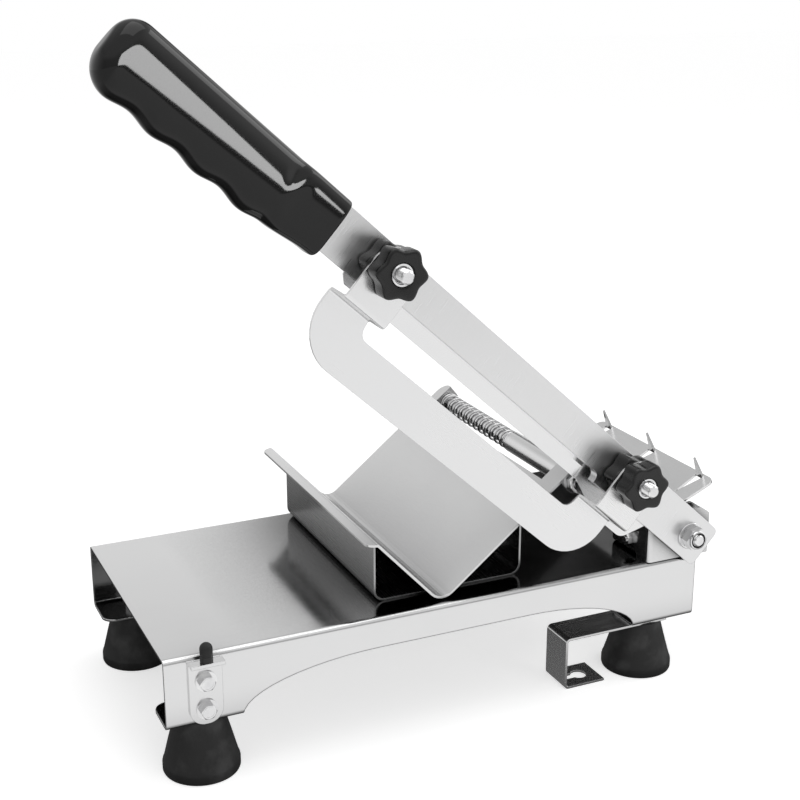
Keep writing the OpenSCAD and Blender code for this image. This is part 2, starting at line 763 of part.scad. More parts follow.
module stop_pin() color("silver") placed()
    translate([stop_in, -stop_out, -stop_drop - stop_t - pin_under])
        cylinder(h = pin_under + stop_t + pin_in_cap, r = small_screw_r);

module stop_cap() color("black") placed() translate([stop_in, -stop_out, -stop_drop]) {
    difference() {
        union() {
            cylinder(h = cap_h - cap_r, r = cap_r);
            translate([0, 0, cap_h - cap_r]) sphere(cap_r);
        }
        translate([0, 0, -past]) cylinder(h = pin_in_cap + past + fit, r = small_screw_r + fit);
        translate([0, 0, -cap_r]) cube([2 * cap_r, 2 * cap_r, 2 * cap_r], center = true);
    }
}

// Tray channel and trough
function valley_edge(angle, side) =
    [valley_x, valley_z] + (valley_r + trough_t) * [side * sin(angle), -cos(angle)];

module tray_channel() color("gainsboro") placed() {
    wall_h = valley_z + right_l * sin(right_angle);
    left_edge = valley_edge(left_angle, -1);
    right_edge = valley_edge(right_angle, 1);
    reach = left_l + right_l;
    difference() {
        across(-tray_near, tray_near + tray_far) difference() {
            bent_sheet([
                [tray_x, wall_h], [tray_x, 0], [tray_x + tray_w, 0], [tray_x + tray_w, wall_h]
            ], tray_t, same_bends(4, tray_bend_r - tray_t));
            polygon([
                left_edge,
                right_edge,
                right_edge + reach * [cos(right_angle), sin(right_angle)],
                left_edge + reach * [-cos(left_angle), sin(left_angle)]
            ]);
        }
        for (x = tray_screw_x, y = tray_screw_y)
            translate([x, y, -past]) cylinder(h = tray_t + 2 * past, r = small_screw_r + fit);
    }
}

module tray_screws() color("silver") placed() {
    for (x = tray_screw_x, y = tray_screw_y) translate([x, y, tray_t])
        pan_screw(small_screw_r, tray_t + sheet_t + nut_height(small_screw_r) + past);
}

module tray_nuts() color("silver") placed() {
    for (x = tray_screw_x, y = tray_screw_y) translate([x, y, -sheet_t - nut_height(small_screw_r)])
        hex_nut(small_screw_r, nut_height(small_screw_r));
}

module rod_ear() difference() {
    right_side() translate([rod_u, -rod_drop]) union() {
        circle(rod_ear_r);
        translate([-rod_ear_r, 0]) square([2 * rod_ear_r, rod_drop - trough_t / 2]);
    }
    translate([rod_x, rod_z]) circle(rod_r + fit);
}

module trough() color("gainsboro") placed() {
    lip_bend_r = 1.5;
    valley_way = (valley_r + trough_t) * tan((left_angle + right_angle) / 2);
    right_way = [cos(right_angle), sin(right_angle)];
    left_way = [-cos(left_angle), sin(left_angle)];
    left_corner = valley_edge(left_angle, -1) + (left_l + lip_bend_r * tan(left_angle / 2)) * left_way;
    lip_end_x = left_corner.x - lip_w;
    difference() {
        across(-trough_near, trough_near + trough_far) bent_sheet([
            [lip_end_x, left_corner.y], left_corner, valley_edge(right_angle, 1) - valley_way * right_way,
            valley_edge(right_angle, 1) + right_l * right_way
        ], trough_t, [0, lip_bend_r, valley_r, 0]);
        across(-opening_near, opening_near + opening_far) right_side()
            translate([right_l - opening_w, -2 * trough_t]) square([opening_w + past, 4 * trough_t]);
        translate([valley_x, 0, valley_z]) rotate([0, -right_angle, 0])
            translate([right_l, trough_far, -valley_r - 2 * trough_t]) rotate(180)
                linear_extrude(4 * trough_t) corner_waste(trough_corner_r);
        for (y = [-trough_near, trough_far]) translate([lip_end_x, y, left_corner.y - past])
            rotate(y > 0 ? -90 : 0) linear_extrude(trough_t + 2 * past) corner_waste(lip_w);
    }
    across(-trough_near, trough_t) rod_ear();
    across(opening_far, trough_t) rod_ear();
}

// Guide rod, its nuts and the spring
module guide_rod() color("silver") placed() {
    across(-rod_near, rod_near + trough_far) translate([rod_x, rod_z]) circle(rod_r);
    across(body_start, opening_far - body_start) translate([rod_x, rod_z]) circle(rod_body_r);
}

rod_near = trough_near + thin_nut_h + 0.5;
// The rod's body starts at the nut behind the near ear
body_start = trough_t + thin_nut_h - trough_near;

// A nut on the rod, turned so that one of its flats lies along the trough's underside
module rod_nut(y, h) translate([rod_x, y, rod_z]) rotate([0, -right_angle, 0]) rotate([-90, 0, 0])
    hex_nut(rod_r, h);

module rod_nuts() color("silver") placed() {
    rod_nut(-trough_near - thin_nut_h, thin_nut_h);
    rod_nut(trough_t - trough_near, thin_nut_h);
    rod_nut(opening_far + trough_t, nut_height(rod_r));
}

rings_per_curl = 8;
wire_sides = 6;
coil_r = spring_r - wire_d / 2;
open_pitch = (spring_l - wire_d - 2 * closed_pitch) / (curls - 2);

// How far the wire's middle has come along the rod after n curls, and how fast it goes there
function coil_y(n) =
    n < 1 ? n * closed_pitch :
    n > curls - 1 ? spring_l - wire_d - (curls - n) * closed_pitch :
    closed_pitch + (n - 1) * open_pitch;
function coil_slope(n) = n < 1 || n > curls - 1 ? closed_pitch : open_pitch;
function coil_point(n) = [
    rod_x + coil_r * cos(360 * n), spring_start + wire_d / 2 + coil_y(n), rod_z + coil_r * sin(360 * n)
];
function coil_ring(n) =
    let (
        radial = [cos(360 * n), 0, sin(360 * n)],
        forward = unit([-sin(360 * n), coil_slope(n) / (2 * PI * coil_r), cos(360 * n)]),
        side = cross(forward, radial)
    )
    [for (k = [0:wire_sides - 1])
        coil_point(n) + wire_d / 2 * (cos(360 * k / wire_sides) * radial + sin(360 * k / wire_sides) * side)];

coil_rings = curls * rings_per_curl;
coil_middles = [for (i = [0:coil_rings]) coil_point(i / rings_per_curl)];
least_gap = min([for (i = [0:coil_rings - rings_per_curl])
    min([for (j = [i + rings_per_curl - 1:coil_rings]) norm(coil_middles[i] - coil_middles[j])])]) - wire_d;
echo(str("Least gap of the spring to itself: ", least_gap, " mm"));

module return_spring() color("silver") placed() {
    points = [for (i = [0:coil_rings]) each coil_ring(i / rings_per_curl)];
    last = coil_rings * wire_sides;
    polyhedron(points, concat(
        [for (k = [1:wire_sides - 2]) [0, k, k + 1]],
        [for (k = [1:wire_sides - 2]) [last, last + k + 1, last + k]],
        [for (i = [0:coil_rings - 1], k = [0:wire_sides - 1])
            let (a = i * wire_sides + k, b = i * wire_sides + (k + 1) % wire_sides) [a, a + wire_sides, b]],
        [for (i = [0:coil_rings - 1], k = [0:wire_sides - 1])
            let (a = i * wire_sides + k, b = i * wire_sides + (k + 1) % wire_sides)
            [b, a + wire_sides, b + wire_sides]]
    ));
}

// Arm
module arm_bar() color("gainsboro") placed() arm_frame() across(bar_out, bar_t) difference() {
    polygon(rounded([
        [-bar_back, bar_up, 4], [-bar_back, -bar_down, 4],
        [relief_start, -bar_down, 0], [relief_start, -relief_down, 4],
        [relief_end, -relief_down, 4], [relief_end, -bar_down, 0],
        [collar_start + past, -bar_down, 0], [collar_start + past, -tang_half, 0],
        [tang_end, -tang_half, 3], [tang_end, tang_half, 3],
        [collar_start + past, tang_half, 0], [collar_start + past, bar_up, 0]
    ]));
    circle(pivot_r + running_fit);
    for (s = [stud_low_s, stud_high_s]) translate([s, stud_up]) circle(stud_r + fit);
}

module blade() color("silver") placed() arm_frame() difference() {
    across(blade_out, blade_t) difference() {
        polygon(rounded([
            [blade_start, bar_up - 3, 3], [blade_start, -bar_down, 3],
            [blade_start + 9.5, -heel_down, 8], [blade_start + 37, -heel_down, 14],
            [blade_start + 62, -edge_down, 8], [blade_end - 4.5, -edge_down, 1.5],
            [blade_end, -edge_down + 4, 1.5], [blade_end, bar_up - 3, 3]
        ]));
        for (s = [stud_low_s, stud_high_s]) translate([s, stud_up]) circle(stud_r + fit);
    }
    along(blade_start + 64, blade_end) polygon([
        [bar_out, -bevel_down], [bar_out + past, -bevel_down], [bar_out + past, -heel_down],
        [blade_out + edge_t, -heel_down], [blade_out + edge_t, -edge_down]
    ]);
}

module grip() color("black") placed() arm_frame() {
    grip_start = collar_start + collar_l;
    middle_out = bar_out + bar_t / 2;
    // The collar's half thickness, its depth under the arm bar and its edges' radius
    collar_half = grip_t / 2 - 3;
    collar_drop = 5;
    collar_r = 6;
    wave_start = grip_end - butt_l - waves * wave_l;
    wave_steps = 8 * waves;
    wave = [for (i = [0:wave_steps])
        let (turns = waves * i / wave_steps)
        [wave_start + wave_l * turns, -grip_down + wave_h * cos(360 * turns)]];
    waved_end = grip_down + wave_h;
    difference() {
        union() {
            intersection() {
                across(middle_out - grip_t / 2, grip_t) polygon(concat(
                    corner([grip_end, 0], [grip_end, grip_up], [grip_start, grip_up + 0.6], 14, 6),
                    [[grip_start, grip_up + 0.6], [grip_start, -grip_down + wave_h]],
                    wave,
                    corner([wave_start, -waved_end], [grip_end, -waved_end], [grip_end, 0], butt_l - 1, 6)
                ));
                along(grip_start - past, grip_end) polygon(rounded([
                    [middle_out - grip_t / 2, grip_up + 1, 10], [middle_out + grip_t / 2, grip_up + 1, 10],
                    [middle_out + grip_t / 2, -waved_end, 10], [middle_out - grip_t / 2, -waved_end, 10]
                ]));
            }
            along(collar_start, collar_l + past) polygon(rounded([
                [middle_out - collar_half, grip_up, collar_r], [middle_out + collar_half, grip_up, collar_r],
                [middle_out + collar_half, -bar_down - collar_drop, collar_r],
                [middle_out - collar_half, -bar_down - collar_drop, collar_r]
            ]));
        }
        across(bar_out - fit, bar_t + 2 * fit) translate([collar_start - past, -tang_half - fit])
            square([tang_end + fit - collar_start + past, 2 * tang_half + 2 * fit]);
        across(bar_out - fit, bar_t + 2 * fit) translate([collar_start - past, -bar_down - fit])
            square([2 * past + fit, bar_up + bar_down + 2 * fit]);
    }
}

module stud(s) color("silver") placed() arm_frame() across(blade_out, stud_l)
    translate([s, stud_up]) circle(stud_r);
module stud_lower() stud(stud_low_s);
module stud_upper() stud(stud_high_s);

// Guard: a long D-shaped plate, and a shelf and an upright tab at each end
module guard_plate() color("gainsboro") placed() arm_frame() {
    start = stud_low_s - guard_before;
    end = stud_high_s + guard_after;
    strip_top = guard_strip_w - guard_down;
    window_lean = 1.5;
    window_r = 6;
    // Where the plate ends under its bends, and where the tabs start over theirs
    plate_top = -shelf_down - guard_t - guard_bend_r;
    tab_low = guard_bend_r - shelf_down;
    overlap = 1;
    across(guard_out, guard_t) polygon(rounded([
        [start, plate_top, 0], [start, -guard_down, guard_low_r],
        [end, -guard_down, guard_high_r], [end, plate_top, 0],
        [end - guard_arm_w, plate_top, 0], [end - guard_arm_w - window_lean, strip_top, window_r],
        [start + guard_arm_w + window_lean, strip_top, window_r], [start + guard_arm_w, plate_top, 0]
    ], 10));
    // Each end: where the plate's arm starts along the slicer's arm, and its stud
    for (place = [[start, stud_low_s], [end - guard_arm_w, stud_high_s]]) {
        plate_s = place[0];
        stud_s = place[1];
        tab_s = stud_s - tab_back - tab_w / 2;
        intersection() {
            along(plate_s - tab_w, guard_arm_w + 2 * tab_w) bent_sheet([
                [guard_out + guard_t, plate_top - overlap], [guard_out + guard_t, -shelf_down - guard_t],
                [tab_near_out, -shelf_down - guard_t], [tab_near_out, tab_low + overlap]
            ], guard_t, same_bends(4, guard_bend_r));
            translate([0, 0, -guard_down]) linear_extrude(guard_down) polygon([
                [plate_s, guard_out - past], [plate_s + guard_arm_w, guard_out - past],
                [plate_s + guard_arm_w, guard_out + guard_t], [tab_s + tab_w, tab_near_out - guard_t],
                [tab_s + tab_w, tab_near_out + past], [tab_s, tab_near_out + past],
                [tab_s, tab_near_out - guard_t], [plate_s, guard_out + guard_t]
            ]);
        }
        across(tab_near_out - guard_t, guard_t) difference() {
            union() {
                translate([tab_s, tab_low]) square([tab_w, -tab_low]);
                translate([tab_s + tab_w / 2, 0]) circle(tab_w / 2);
            }
            translate([stud_s, stud_up]) circle(stud_r + loose_fit);
        }
    }
}

// Knobs with threaded inserts
module knob(s, out) color("black") placed() arm_frame() across(out, knob_h)
    translate([s, stud_up]) difference() {
        polygon([for (i = [0:12 * knob_lobes - 1])
            let (a = 360 * i / (12 * knob_lobes), r = knob_r - knob_hollow * (1 - cos(knob_lobes * a)) / 2)
            r * [cos(a), sin(a)]]);
        circle(insert_r + fit);
    }
module knob_rear_lower() knob(stud_low_s, rear_knob_out);
module knob_rear_upper() knob(stud_high_s, rear_knob_out);
module knob_front_lower() knob(stud_low_s, front_knob_out);
module knob_front_upper() knob(stud_high_s, front_knob_out);

module insert(s, out) color("silver") placed() arm_frame()
    across(out + insert_in, knob_h - 2 * insert_in) translate([s, stud_up]) difference() {
        circle(insert_r);
        circle(stud_r + running_fit);
    }
module insert_rear_lower() insert(stud_low_s, rear_knob_out);
module insert_rear_upper() insert(stud_high_s, rear_knob_out);
module insert_front_lower() insert(stud_low_s, front_knob_out);
module insert_front_upper() insert(stud_high_s, front_knob_out);

// What moves on the guide rod
module spring_collar() color("silver") placed() across(sleeve_far, collar_t)
    translate([rod_x, rod_z]) difference() {
        circle(sleeve_r);
        circle(rod_body_r + running_fit);
    }

module presser_sleeve() color("gainsboro") placed() across(-sleeve_near, sleeve_l - running_gap)
    translate([rod_x, rod_z]) difference() {
        circle(sleeve_r);
        circle(rod_body_r + running_fit);
    }

module presser_plate() color("gainsboro") placed() presser_frame() {
    plate_start = presser_bend_x + 2 * (presser_bend_r + presser_t);
    spike_x = presser_l - spike_in;
    spike_length = 20;
    spike_step = (presser_w - 2 * spike_end) / (spikes - 1);
    spike_y = [for (i = [0:spikes - 1]) spike_end - presser_near + i * spike_step];
    difference() {
        union() {
            across(-sleeve_near, sleeve_l - running_gap) difference() {
                bent_sheet([
                    web_foot, bend_point,
                    [plate_start + past, -presser_drop]
                ], presser_t, same_bends(3, presser_bend_r));
                circle(sleeve_r);
            }
            translate([0, -presser_near, -presser_drop]) linear_extrude(presser_t) polygon(rounded([
                [plate_start, 0, presser_corner_r], [presser_l, 0, presser_corner_r],
                [presser_l, presser_w, presser_corner_r], [plate_start, presser_w, presser_corner_r]
            ]));
        }
        for (y = spike_y) translate([spike_x, y, -presser_drop - past])
            linear_extrude(presser_t + 2 * past)
                polygon([[0, -spike_w / 2], [0, spike_w / 2], [-spike_length, 0]]);
    }
    for (y = spike_y) translate([spike_x, y, -presser_drop])
        rotate([90, 0, 90]) linear_extrude(presser_t)
            polygon([[-spike_w / 2, 0], [spike_w / 2, 0], [0, spike_h + presser_t]]);
}

base_shell();
foot_front_left();
foot_rear_left();
foot_front_right();
foot_rear_right();
foot_screws();
foot_nuts();
bench_bracket();
pivot_bracket();
pivot_bracket_screws();
pivot_bracket_nuts();
pivot_angle();
pivot_web_bolt();
pivot_web_nut();
pivot_bolt();
pivot_spacer();
pivot_washer();
pivot_nut();
stop_bracket();
stop_bolts();
stop_washers();
stop_nuts();
stop_pin();
stop_cap();
tray_channel();
tray_screws();
tray_nuts();
trough();
guide_rod();
rod_nuts();
return_spring();
arm_bar();
blade();
grip();
stud_lower();
stud_upper();
guard_plate();
knob_rear_lower();
knob_rear_upper();
knob_front_lower();
knob_front_upper();
insert_rear_lower();
insert_rear_upper();
insert_front_lower();
insert_front_upper();
spring_collar();
presser_sleeve();
presser_plate();
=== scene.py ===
"""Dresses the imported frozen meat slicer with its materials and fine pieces, and sets up its studio.

The slicer's lengths are in millimetres and become metres through MM. Places come from the frame. The
studio's lengths are in metres.
"""

import json
import math

import bmesh
import bpy
from mathutils import Matrix, Vector


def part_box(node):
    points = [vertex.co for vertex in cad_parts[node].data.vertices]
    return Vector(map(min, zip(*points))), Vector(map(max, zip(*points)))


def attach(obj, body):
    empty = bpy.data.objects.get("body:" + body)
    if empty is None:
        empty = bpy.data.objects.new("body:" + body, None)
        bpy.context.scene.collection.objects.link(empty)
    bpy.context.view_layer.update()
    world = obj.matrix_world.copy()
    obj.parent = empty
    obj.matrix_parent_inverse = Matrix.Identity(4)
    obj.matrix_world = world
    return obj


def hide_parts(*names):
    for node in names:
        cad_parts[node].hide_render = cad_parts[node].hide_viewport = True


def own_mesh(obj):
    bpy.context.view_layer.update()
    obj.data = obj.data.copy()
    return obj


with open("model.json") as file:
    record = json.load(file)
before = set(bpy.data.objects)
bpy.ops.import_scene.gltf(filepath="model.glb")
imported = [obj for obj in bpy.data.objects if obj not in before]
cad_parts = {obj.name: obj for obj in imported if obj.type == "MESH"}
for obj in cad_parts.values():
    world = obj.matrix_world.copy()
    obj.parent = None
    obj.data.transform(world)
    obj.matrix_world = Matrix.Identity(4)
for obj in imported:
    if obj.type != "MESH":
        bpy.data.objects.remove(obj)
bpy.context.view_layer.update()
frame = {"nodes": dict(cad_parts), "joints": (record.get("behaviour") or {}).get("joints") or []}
MM = 0.001
joints = {j["name"]: j for j in frame["joints"]}


def joint_place(name):
    return Vector(joints[name]["pos_m"])


def node_names(start):
    return [name for name in frame["nodes"] if name.startswith(start)]


def middle(node):
    low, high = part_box(node)
    return (low + high) / 2


# Camera, at the photograph's place
CAMERA_PLACE = Vector((-337.25, -729.25, 432.14)) * MM
CAMERA_AZIMUTH = math.radians(24.589)
CAMERA_ELEVATION = math.radians(17.688)
CAMERA_LENS, CAMERA_SENSOR = 63.36, 36
CAMERA_SHIFT = (0.0008, 0.0018)


def make_camera():
    data = bpy.data.cameras.new("camera")
    data.lens = CAMERA_LENS
    data.sensor_width = CAMERA_SENSOR
    data.shift_x, data.shift_y = CAMERA_SHIFT
    camera = bpy.data.objects.new("camera", data)
    camera.location = CAMERA_PLACE
    camera.rotation_euler = (math.pi / 2 - CAMERA_ELEVATION, 0, -CAMERA_AZIMUTH)
    bpy.context.scene.collection.objects.link(camera)
    bpy.context.scene.camera = camera


# Node helpers
# Sockets of the Mix node, whose names repeat: factor, two numbers, two colours and the mixed colour
MIX_FACTOR, NUMBER_A, NUMBER_B, COLOUR_A, COLOUR_B, MIXED_COLOUR = 0, 2, 3, 6, 7, 2


def node_adder(tree):
    """A function that adds a node with its inputs set or linked, and gives one of its outputs."""
    def add(kind, inputs, output=0, **settings):
        node = tree.nodes.new(kind)
        for key, value in settings.items():
            setattr(node, key, value)
        for key, value in inputs.items():
            if isinstance(value, bpy.types.NodeSocket):
                tree.links.new(value, node.inputs[key])
            else:
                node.inputs[key].default_value = value
        return node.outputs[output] if node.outputs else None

    return add


def new_material(name):
    """A material, its shader and the functions that add a node and a link."""
    made = bpy.data.materials.new(name)
    made.use_nodes = True
    tree = made.node_tree
    return made, tree.nodes["Principled BSDF"], node_adder(tree), tree.links.new


def grey(brightness):
    return (brightness, brightness, brightness, 1)


def tinted(brightness, shares):
    """A colour with each channel at its own share of a brightness."""
    return tuple(brightness * share for share in shares) + (1,)


def maths(add, operation, a, b=0):
    return add("ShaderNodeMath", {0: a, 1: b}, operation=operation)


def mix(add, factor, a, b):
    """A colour from a at factor 0 to b at factor 1."""
    return add("ShaderNodeMix", {MIX_FACTOR: factor, COLOUR_A: a, COLOUR_B: b}, MIXED_COLOUR,
               data_type="RGBA")


def between(add, value, low, high, start=0.3, stop=0.7):
    """A number that goes from low to high as a value, usually noise, goes from start to stop."""
    return add("ShaderNodeMapRange", {"Value": value, "From Min": start, "From Max": stop,
                                      "To Min": low, "To Max": high})


def ramp(add, value, stops):
    """A smooth grey ramp through stops of place and brightness."""
    out = add("ShaderNodeValToRGB", {0: value})
    elements = out.node.color_ramp.elements
    while len(elements) < len(stops):
        elements.new(0.5)
    for element, (place, brightness) in zip(elements, stops):
        element.position = place
        element.color = grey(brightness)
    out.node.color_ramp.interpolation = "EASE"
    return out


def object_place(add):
    return add("ShaderNodeTexCoord", {}, "Object")


def noise(add, place, scale, stretch=(1, 1, 1), turn=0.0, detail=2.0):
    """Noise on a place, stretched along axes that are turned about Y."""
    turned = add("ShaderNodeMapping", {"Vector": place, "Rotation": (0, turn, 0)})
    sized = add("ShaderNodeMapping", {"Vector": turned, "Scale": stretch})
    return add("ShaderNodeTexNoise", {"Vector": sized, "Scale": scale, "Detail": detail})


def bumped(add, height, strength, distance, **normal):
    """A normal roughened by noise whose whole height is a distance in millimetres."""
    return add("ShaderNodeBump", {"Height": height, "Strength": strength, "Distance": distance * MM,
                                  **normal})


# Materials. A noise scale of 1000 has features of about a millimetre
STREAK_SCALE, SMUDGE_SCALE = 2600, 18
SPECK_SCALE, CLOUD_SCALE = 1400, 120
RIPPLE_SCALE, DUST_SCALE = 45, 1500
GRAIN_SCALE, WORN_SCALE = 1100, 70
# What a smudge adds to a sheet's roughness, and the parts of streaks and smudges in its colour
SMUDGE_ROUGHNESS = (-0.03, 0.04)
STREAK_PART, SMUDGE_PART = 0.4, 0.6
# Share of the tone that each channel keeps in a metal's darker streaks and clouds
DARK_STREAK, DARK_CLOUD = (0.93, 0.93, 0.935), (0.86, 0.86, 0.87)
# Colour of the painted shade that a sheet takes near other faces
PAINTED_SHADE = grey(0.02)
# Stretch of the noise over which dust shows, and its shares of a plastic's roughness and tone
DUST_SHOWS, DUST_ROUGHNESS, DUST_TONE = (0.5, 0.8), (0.8, 1.25), 1.5
WORN_SHOWS, RUBBER_ROUGHNESS = (0.45, 0.75), (0.62, 0.45)
RUBBER_CLEAN, RUBBER_DUSTY = grey(0.007), grey(0.04)
# Strengths of bumps, and heights of their noise
METAL_BUMP, RUBBER_BUMP = 0.04, 0.25
FINE_HEIGHT, RIPPLE_HEIGHT, RUBBER_HEIGHT = 0.05, 0.5, 0.15
TRACED_SAMPLES = 8


def steel(name, tone, roughness, stretch, turn=0.0, streaks=0.05, bump=0.006, shade_reach=0, depth=1.0,
          shade_level_only=False, edge=0.35):
    """Brushed stainless sheet: fine streaks along one way, faint clouds, and edges softened to a
    radius. Within reach of another face, painted shade darkens its colour, either everywhere or on its
    level faces."""
    made, shader, add, link = new_material(name)
    place = object_place(add)
    streak = noise(add, place, STREAK_SCALE, stretch, turn, 3.0)
    smudge = noise(add, place, SMUDGE_SCALE)
    fine = between(add, streak, roughness - streaks, roughness + streaks)
    broad = between(add, smudge, *SMUDGE_ROUGHNESS)
    link(maths(add, "ADD", fine, broad), shader.inputs["Roughness"])
    clouded = maths(add, "ADD", between(add, streak, 0, STREAK_PART),
                    between(add, smudge, 0, SMUDGE_PART))
    colour = mix(add, clouded, tinted(tone, DARK_STREAK), grey(tone))
    # Painted shade: ambient occlusion darkens the colour near other faces, on level faces only where
    # asked
    if shade_reach:
        corner = add("ShaderNodeAmbientOcclusion", {"Distance": shade_reach * MM}, "AO",
                     samples=TRACED_SAMPLES)
        unshaded = maths(add, "POWER", corner, depth)
        if shade_level_only:
            normal = add("ShaderNodeNewGeometry", {}, "Normal")
            up = add("ShaderNodeSeparateXYZ", {0: normal}, "Z")
            level = between(add, maths(add, "ABSOLUTE", up), 0, 1)
            unshaded = add("ShaderNodeMix", {MIX_FACTOR: level, NUMBER_A: 1.0, NUMBER_B: unshaded})
        colour = mix(add, unshaded, PAINTED_SHADE, colour)
    link(colour, shader.inputs["Base Color"])
    soft_edge = add("ShaderNodeBevel", {"Radius": edge * MM}, samples=TRACED_SAMPLES)
    link(bumped(add, streak, bump, FINE_HEIGHT, Normal=soft_edge), shader.inputs["Normal"])
    shader.inputs["Metallic"].default_value = 1
    return made


def bright_metal(name, tone, roughness, grain=0.05):
    """Turned or plated metal for fasteners, rods and the spring."""
    made, shader, add, link = new_material(name)
    place = object_place(add)
    speck = noise(add, place, SPECK_SCALE, detail=3.0)
    cloud = noise(add, place, CLOUD_SCALE)
    link(between(add, speck, roughness - grain, roughness + grain), shader.inputs["Roughness"])
    link(mix(add, between(add, cloud, 0, 1), tinted(tone, DARK_CLOUD), grey(tone)),
         shader.inputs["Base Color"])
    link(bumped(add, speck, METAL_BUMP, FINE_HEIGHT), shader.inputs["Normal"])
    shader.inputs["Metallic"].default_value = 1
    return made


def gloss_plastic(name, tone, roughness, ripple, ior=1.45):
    """Glossy black plastic with the faint waves of a dipped or moulded skin, and a little dust."""
    made, shader, add, link = new_material(name)
    place = object_place(add)
    wave = noise(add, place, RIPPLE_SCALE, detail=1.0)
    dust = noise(add, place, DUST_SCALE, detail=3.0)
    clean, dusty = (roughness * share for share in DUST_ROUGHNESS)
    link(between(add, dust, clean, dusty), shader.inputs["Roughness"])
    link(mix(add, between(add, dust, 0, 1, *DUST_SHOWS), grey(tone), grey(tone * DUST_TONE)),
         shader.inputs["Base Color"])
    link(bumped(add, wave, ripple, RIPPLE_HEIGHT), shader.inputs["Normal"])
    shader.inputs["IOR"].default_value = ior
    return made


def rubber(name):
    """Matt black rubber with worn, dusty patches."""
    made, shader, add, link = new_material(name)
    place = object_place(add)
    grain = noise(add, place, GRAIN_SCALE, detail=4.0)
    worn = noise(add, place, WORN_SCALE, detail=5.0)
    link(between(add, worn, *RUBBER_ROUGHNESS), shader.inputs["Roughness"])
    link(mix(add, between(add, worn, 0, 1, *WORN_SHOWS), RUBBER_CLEAN, RUBBER_DUSTY),
         shader.inputs["Base Color"])
    link(bumped(add, grain, RUBBER_BUMP, RUBBER_HEIGHT), shader.inputs["Normal"])
    return made


# The arm's line, from the lower studs to the upper ones
ALONG_ARM = (joint_place("knob_front_upper_turn") - joint_place("knob_front_lower_turn")).normalized()
ARM_TURN = math.atan2(ALONG_ARM.z, -ALONG_ARM.x)
# Stretches of the streaks: along Y, along X, and along or across the arm once they are turned with it
ALONG_Y, ACROSS_Y = (1, 0.02, 1), (0.02, 1, 1)
ARM_ACROSS, ARM_ALONG = (1, 1, 0.03), (0.03, 1, 1)

# The base, the trough and the pivot's bracket get painted shade near other faces. The bracket's steel
# is the small parts' steel with that painted shade added
sheet_top = steel("steel_base", 0.72, 0.14, ACROSS_Y, streaks=0.04, bump=0.005, shade_reach=90, depth=2.4,
                  shade_level_only=True, edge=1.0)
sheet_trough = steel("steel_trough", 0.72, 0.2, ALONG_Y, streaks=0.04, shade_reach=60, depth=0.7)
# The tray's steel is toned darker than the other sheets, a painted shade for its dark inside
sheet_tray = steel("steel_tray", 0.4, 0.26, ALONG_Y, streaks=0.04)
sheet_arm = steel("steel_arm", 0.79, 0.32, ARM_ACROSS, -ARM_TURN)
sheet_guard = steel("steel_guard", 0.82, 0.24, ARM_ALONG, -ARM_TURN, streaks=0.03, bump=0.002)
sheet_small = steel("steel_small", 0.74, 0.2, ACROSS_Y)
sheet_bracket = steel("steel_bracket", 0.74, 0.2, ACROSS_Y, shade_reach=40, depth=1.8)
blade_metal = steel("steel_blade", 0.8, 0.16, ARM_ACROSS, -ARM_TURN, bump=0.008)
bright = bright_metal("bright_metal", 0.78, 0.14)
spring_wire = bright_metal("spring_wire", 0.66, 0.14)
black_grip = gloss_plastic("black_grip", 0.003, 0.07, 0.04, 1.36)
black_knob = gloss_plastic("black_knob", 0.006, 0.26, 0.03)
nylon = gloss_plastic("black_nylon", 0.004, 0.35, 0.03)
black_rubber = rubber("black_rubber")

# The nodes that aren't bright metal. A node that a piece replaces is hidden
NODE_MATERIALS = {
    sheet_top: ["base_shell"],
    sheet_trough: ["trough"],
    sheet_tray: ["tray_channel"],
    sheet_small: ["bench_bracket", "stop_bracket", "presser_plate", "presser_sleeve"],
    sheet_bracket: ["pivot_bracket", "pivot_angle"],
    sheet_arm: ["arm_bar"],
    sheet_guard: ["guard_plate"],
    blade_metal: ["blade"],
    spring_wire: ["return_spring"],
}


def paint(thing, made):
    thing.data.materials.clear()
    thing.data.materials.append(made)


def paint_nodes():
    for node in frame["nodes"].values():
        paint(node, bright)
    for made, names in NODE_MATERIALS.items():
        for name in names:
            paint(frame["nodes"][name], made)


# Shapes
def make_piece(name, vertices, faces, made, body, slot, smooth=30):
    """A mesh piece in the frame's place, shaded smooth up to an angle, that rides on a body."""
    mesh = bpy.data.meshes.new(name)
    mesh.from_pydata([tuple(v) for v in vertices], [], faces)
    work = bmesh.new()
    work.from_mesh(mesh)
    bmesh.ops.recalc_face_normals(work, faces=work.faces)
    work.to_mesh(mesh)
    work.free()
    mesh.shade_smooth()
    mesh.set_sharp_from_angle(angle=math.radians(smooth))
    piece = bpy.data.objects.new(name, mesh)
    bpy.context.scene.collection.objects.link(piece)
    paint(piece, made)
    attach(piece, body)
    return piece


def make_steel_piece(name, shape, body, smooth=30):
    """A fastener's piece from its vertices and faces."""
    return make_piece(name, *shape, bright, body, "fastener_steel", smooth)


def turns(steps):
    """The angles of a full turn in equal steps."""
    return [2 * math.pi * k / steps for k in range(steps)]


def quarter(step, steps):
    """The angle at a step of a quarter turn."""
    return math.pi / 2 * step / steps


def skin(rings, looped=False):
    """Vertices and faces of a closed skin over rings of points. A looped skin joins its last ring to
    its first, and any other has a face over each end."""
    count = len(rings[0])
    vertices = [p for ring in rings for p in ring]
    last = len(rings) if looped else len(rings) - 1
    faces = []
    for i in range(last):
        a, b = i * count, (i + 1) % len(rings) * count
        for k in range(count):
            n = (k + 1) % count
            faces.append((a + k, a + n, b + n, b + k))
    if not looped:
        faces.append(tuple(range(count)))
        faces.append(tuple(range(len(vertices) - count, len(vertices))))
    return vertices, faces


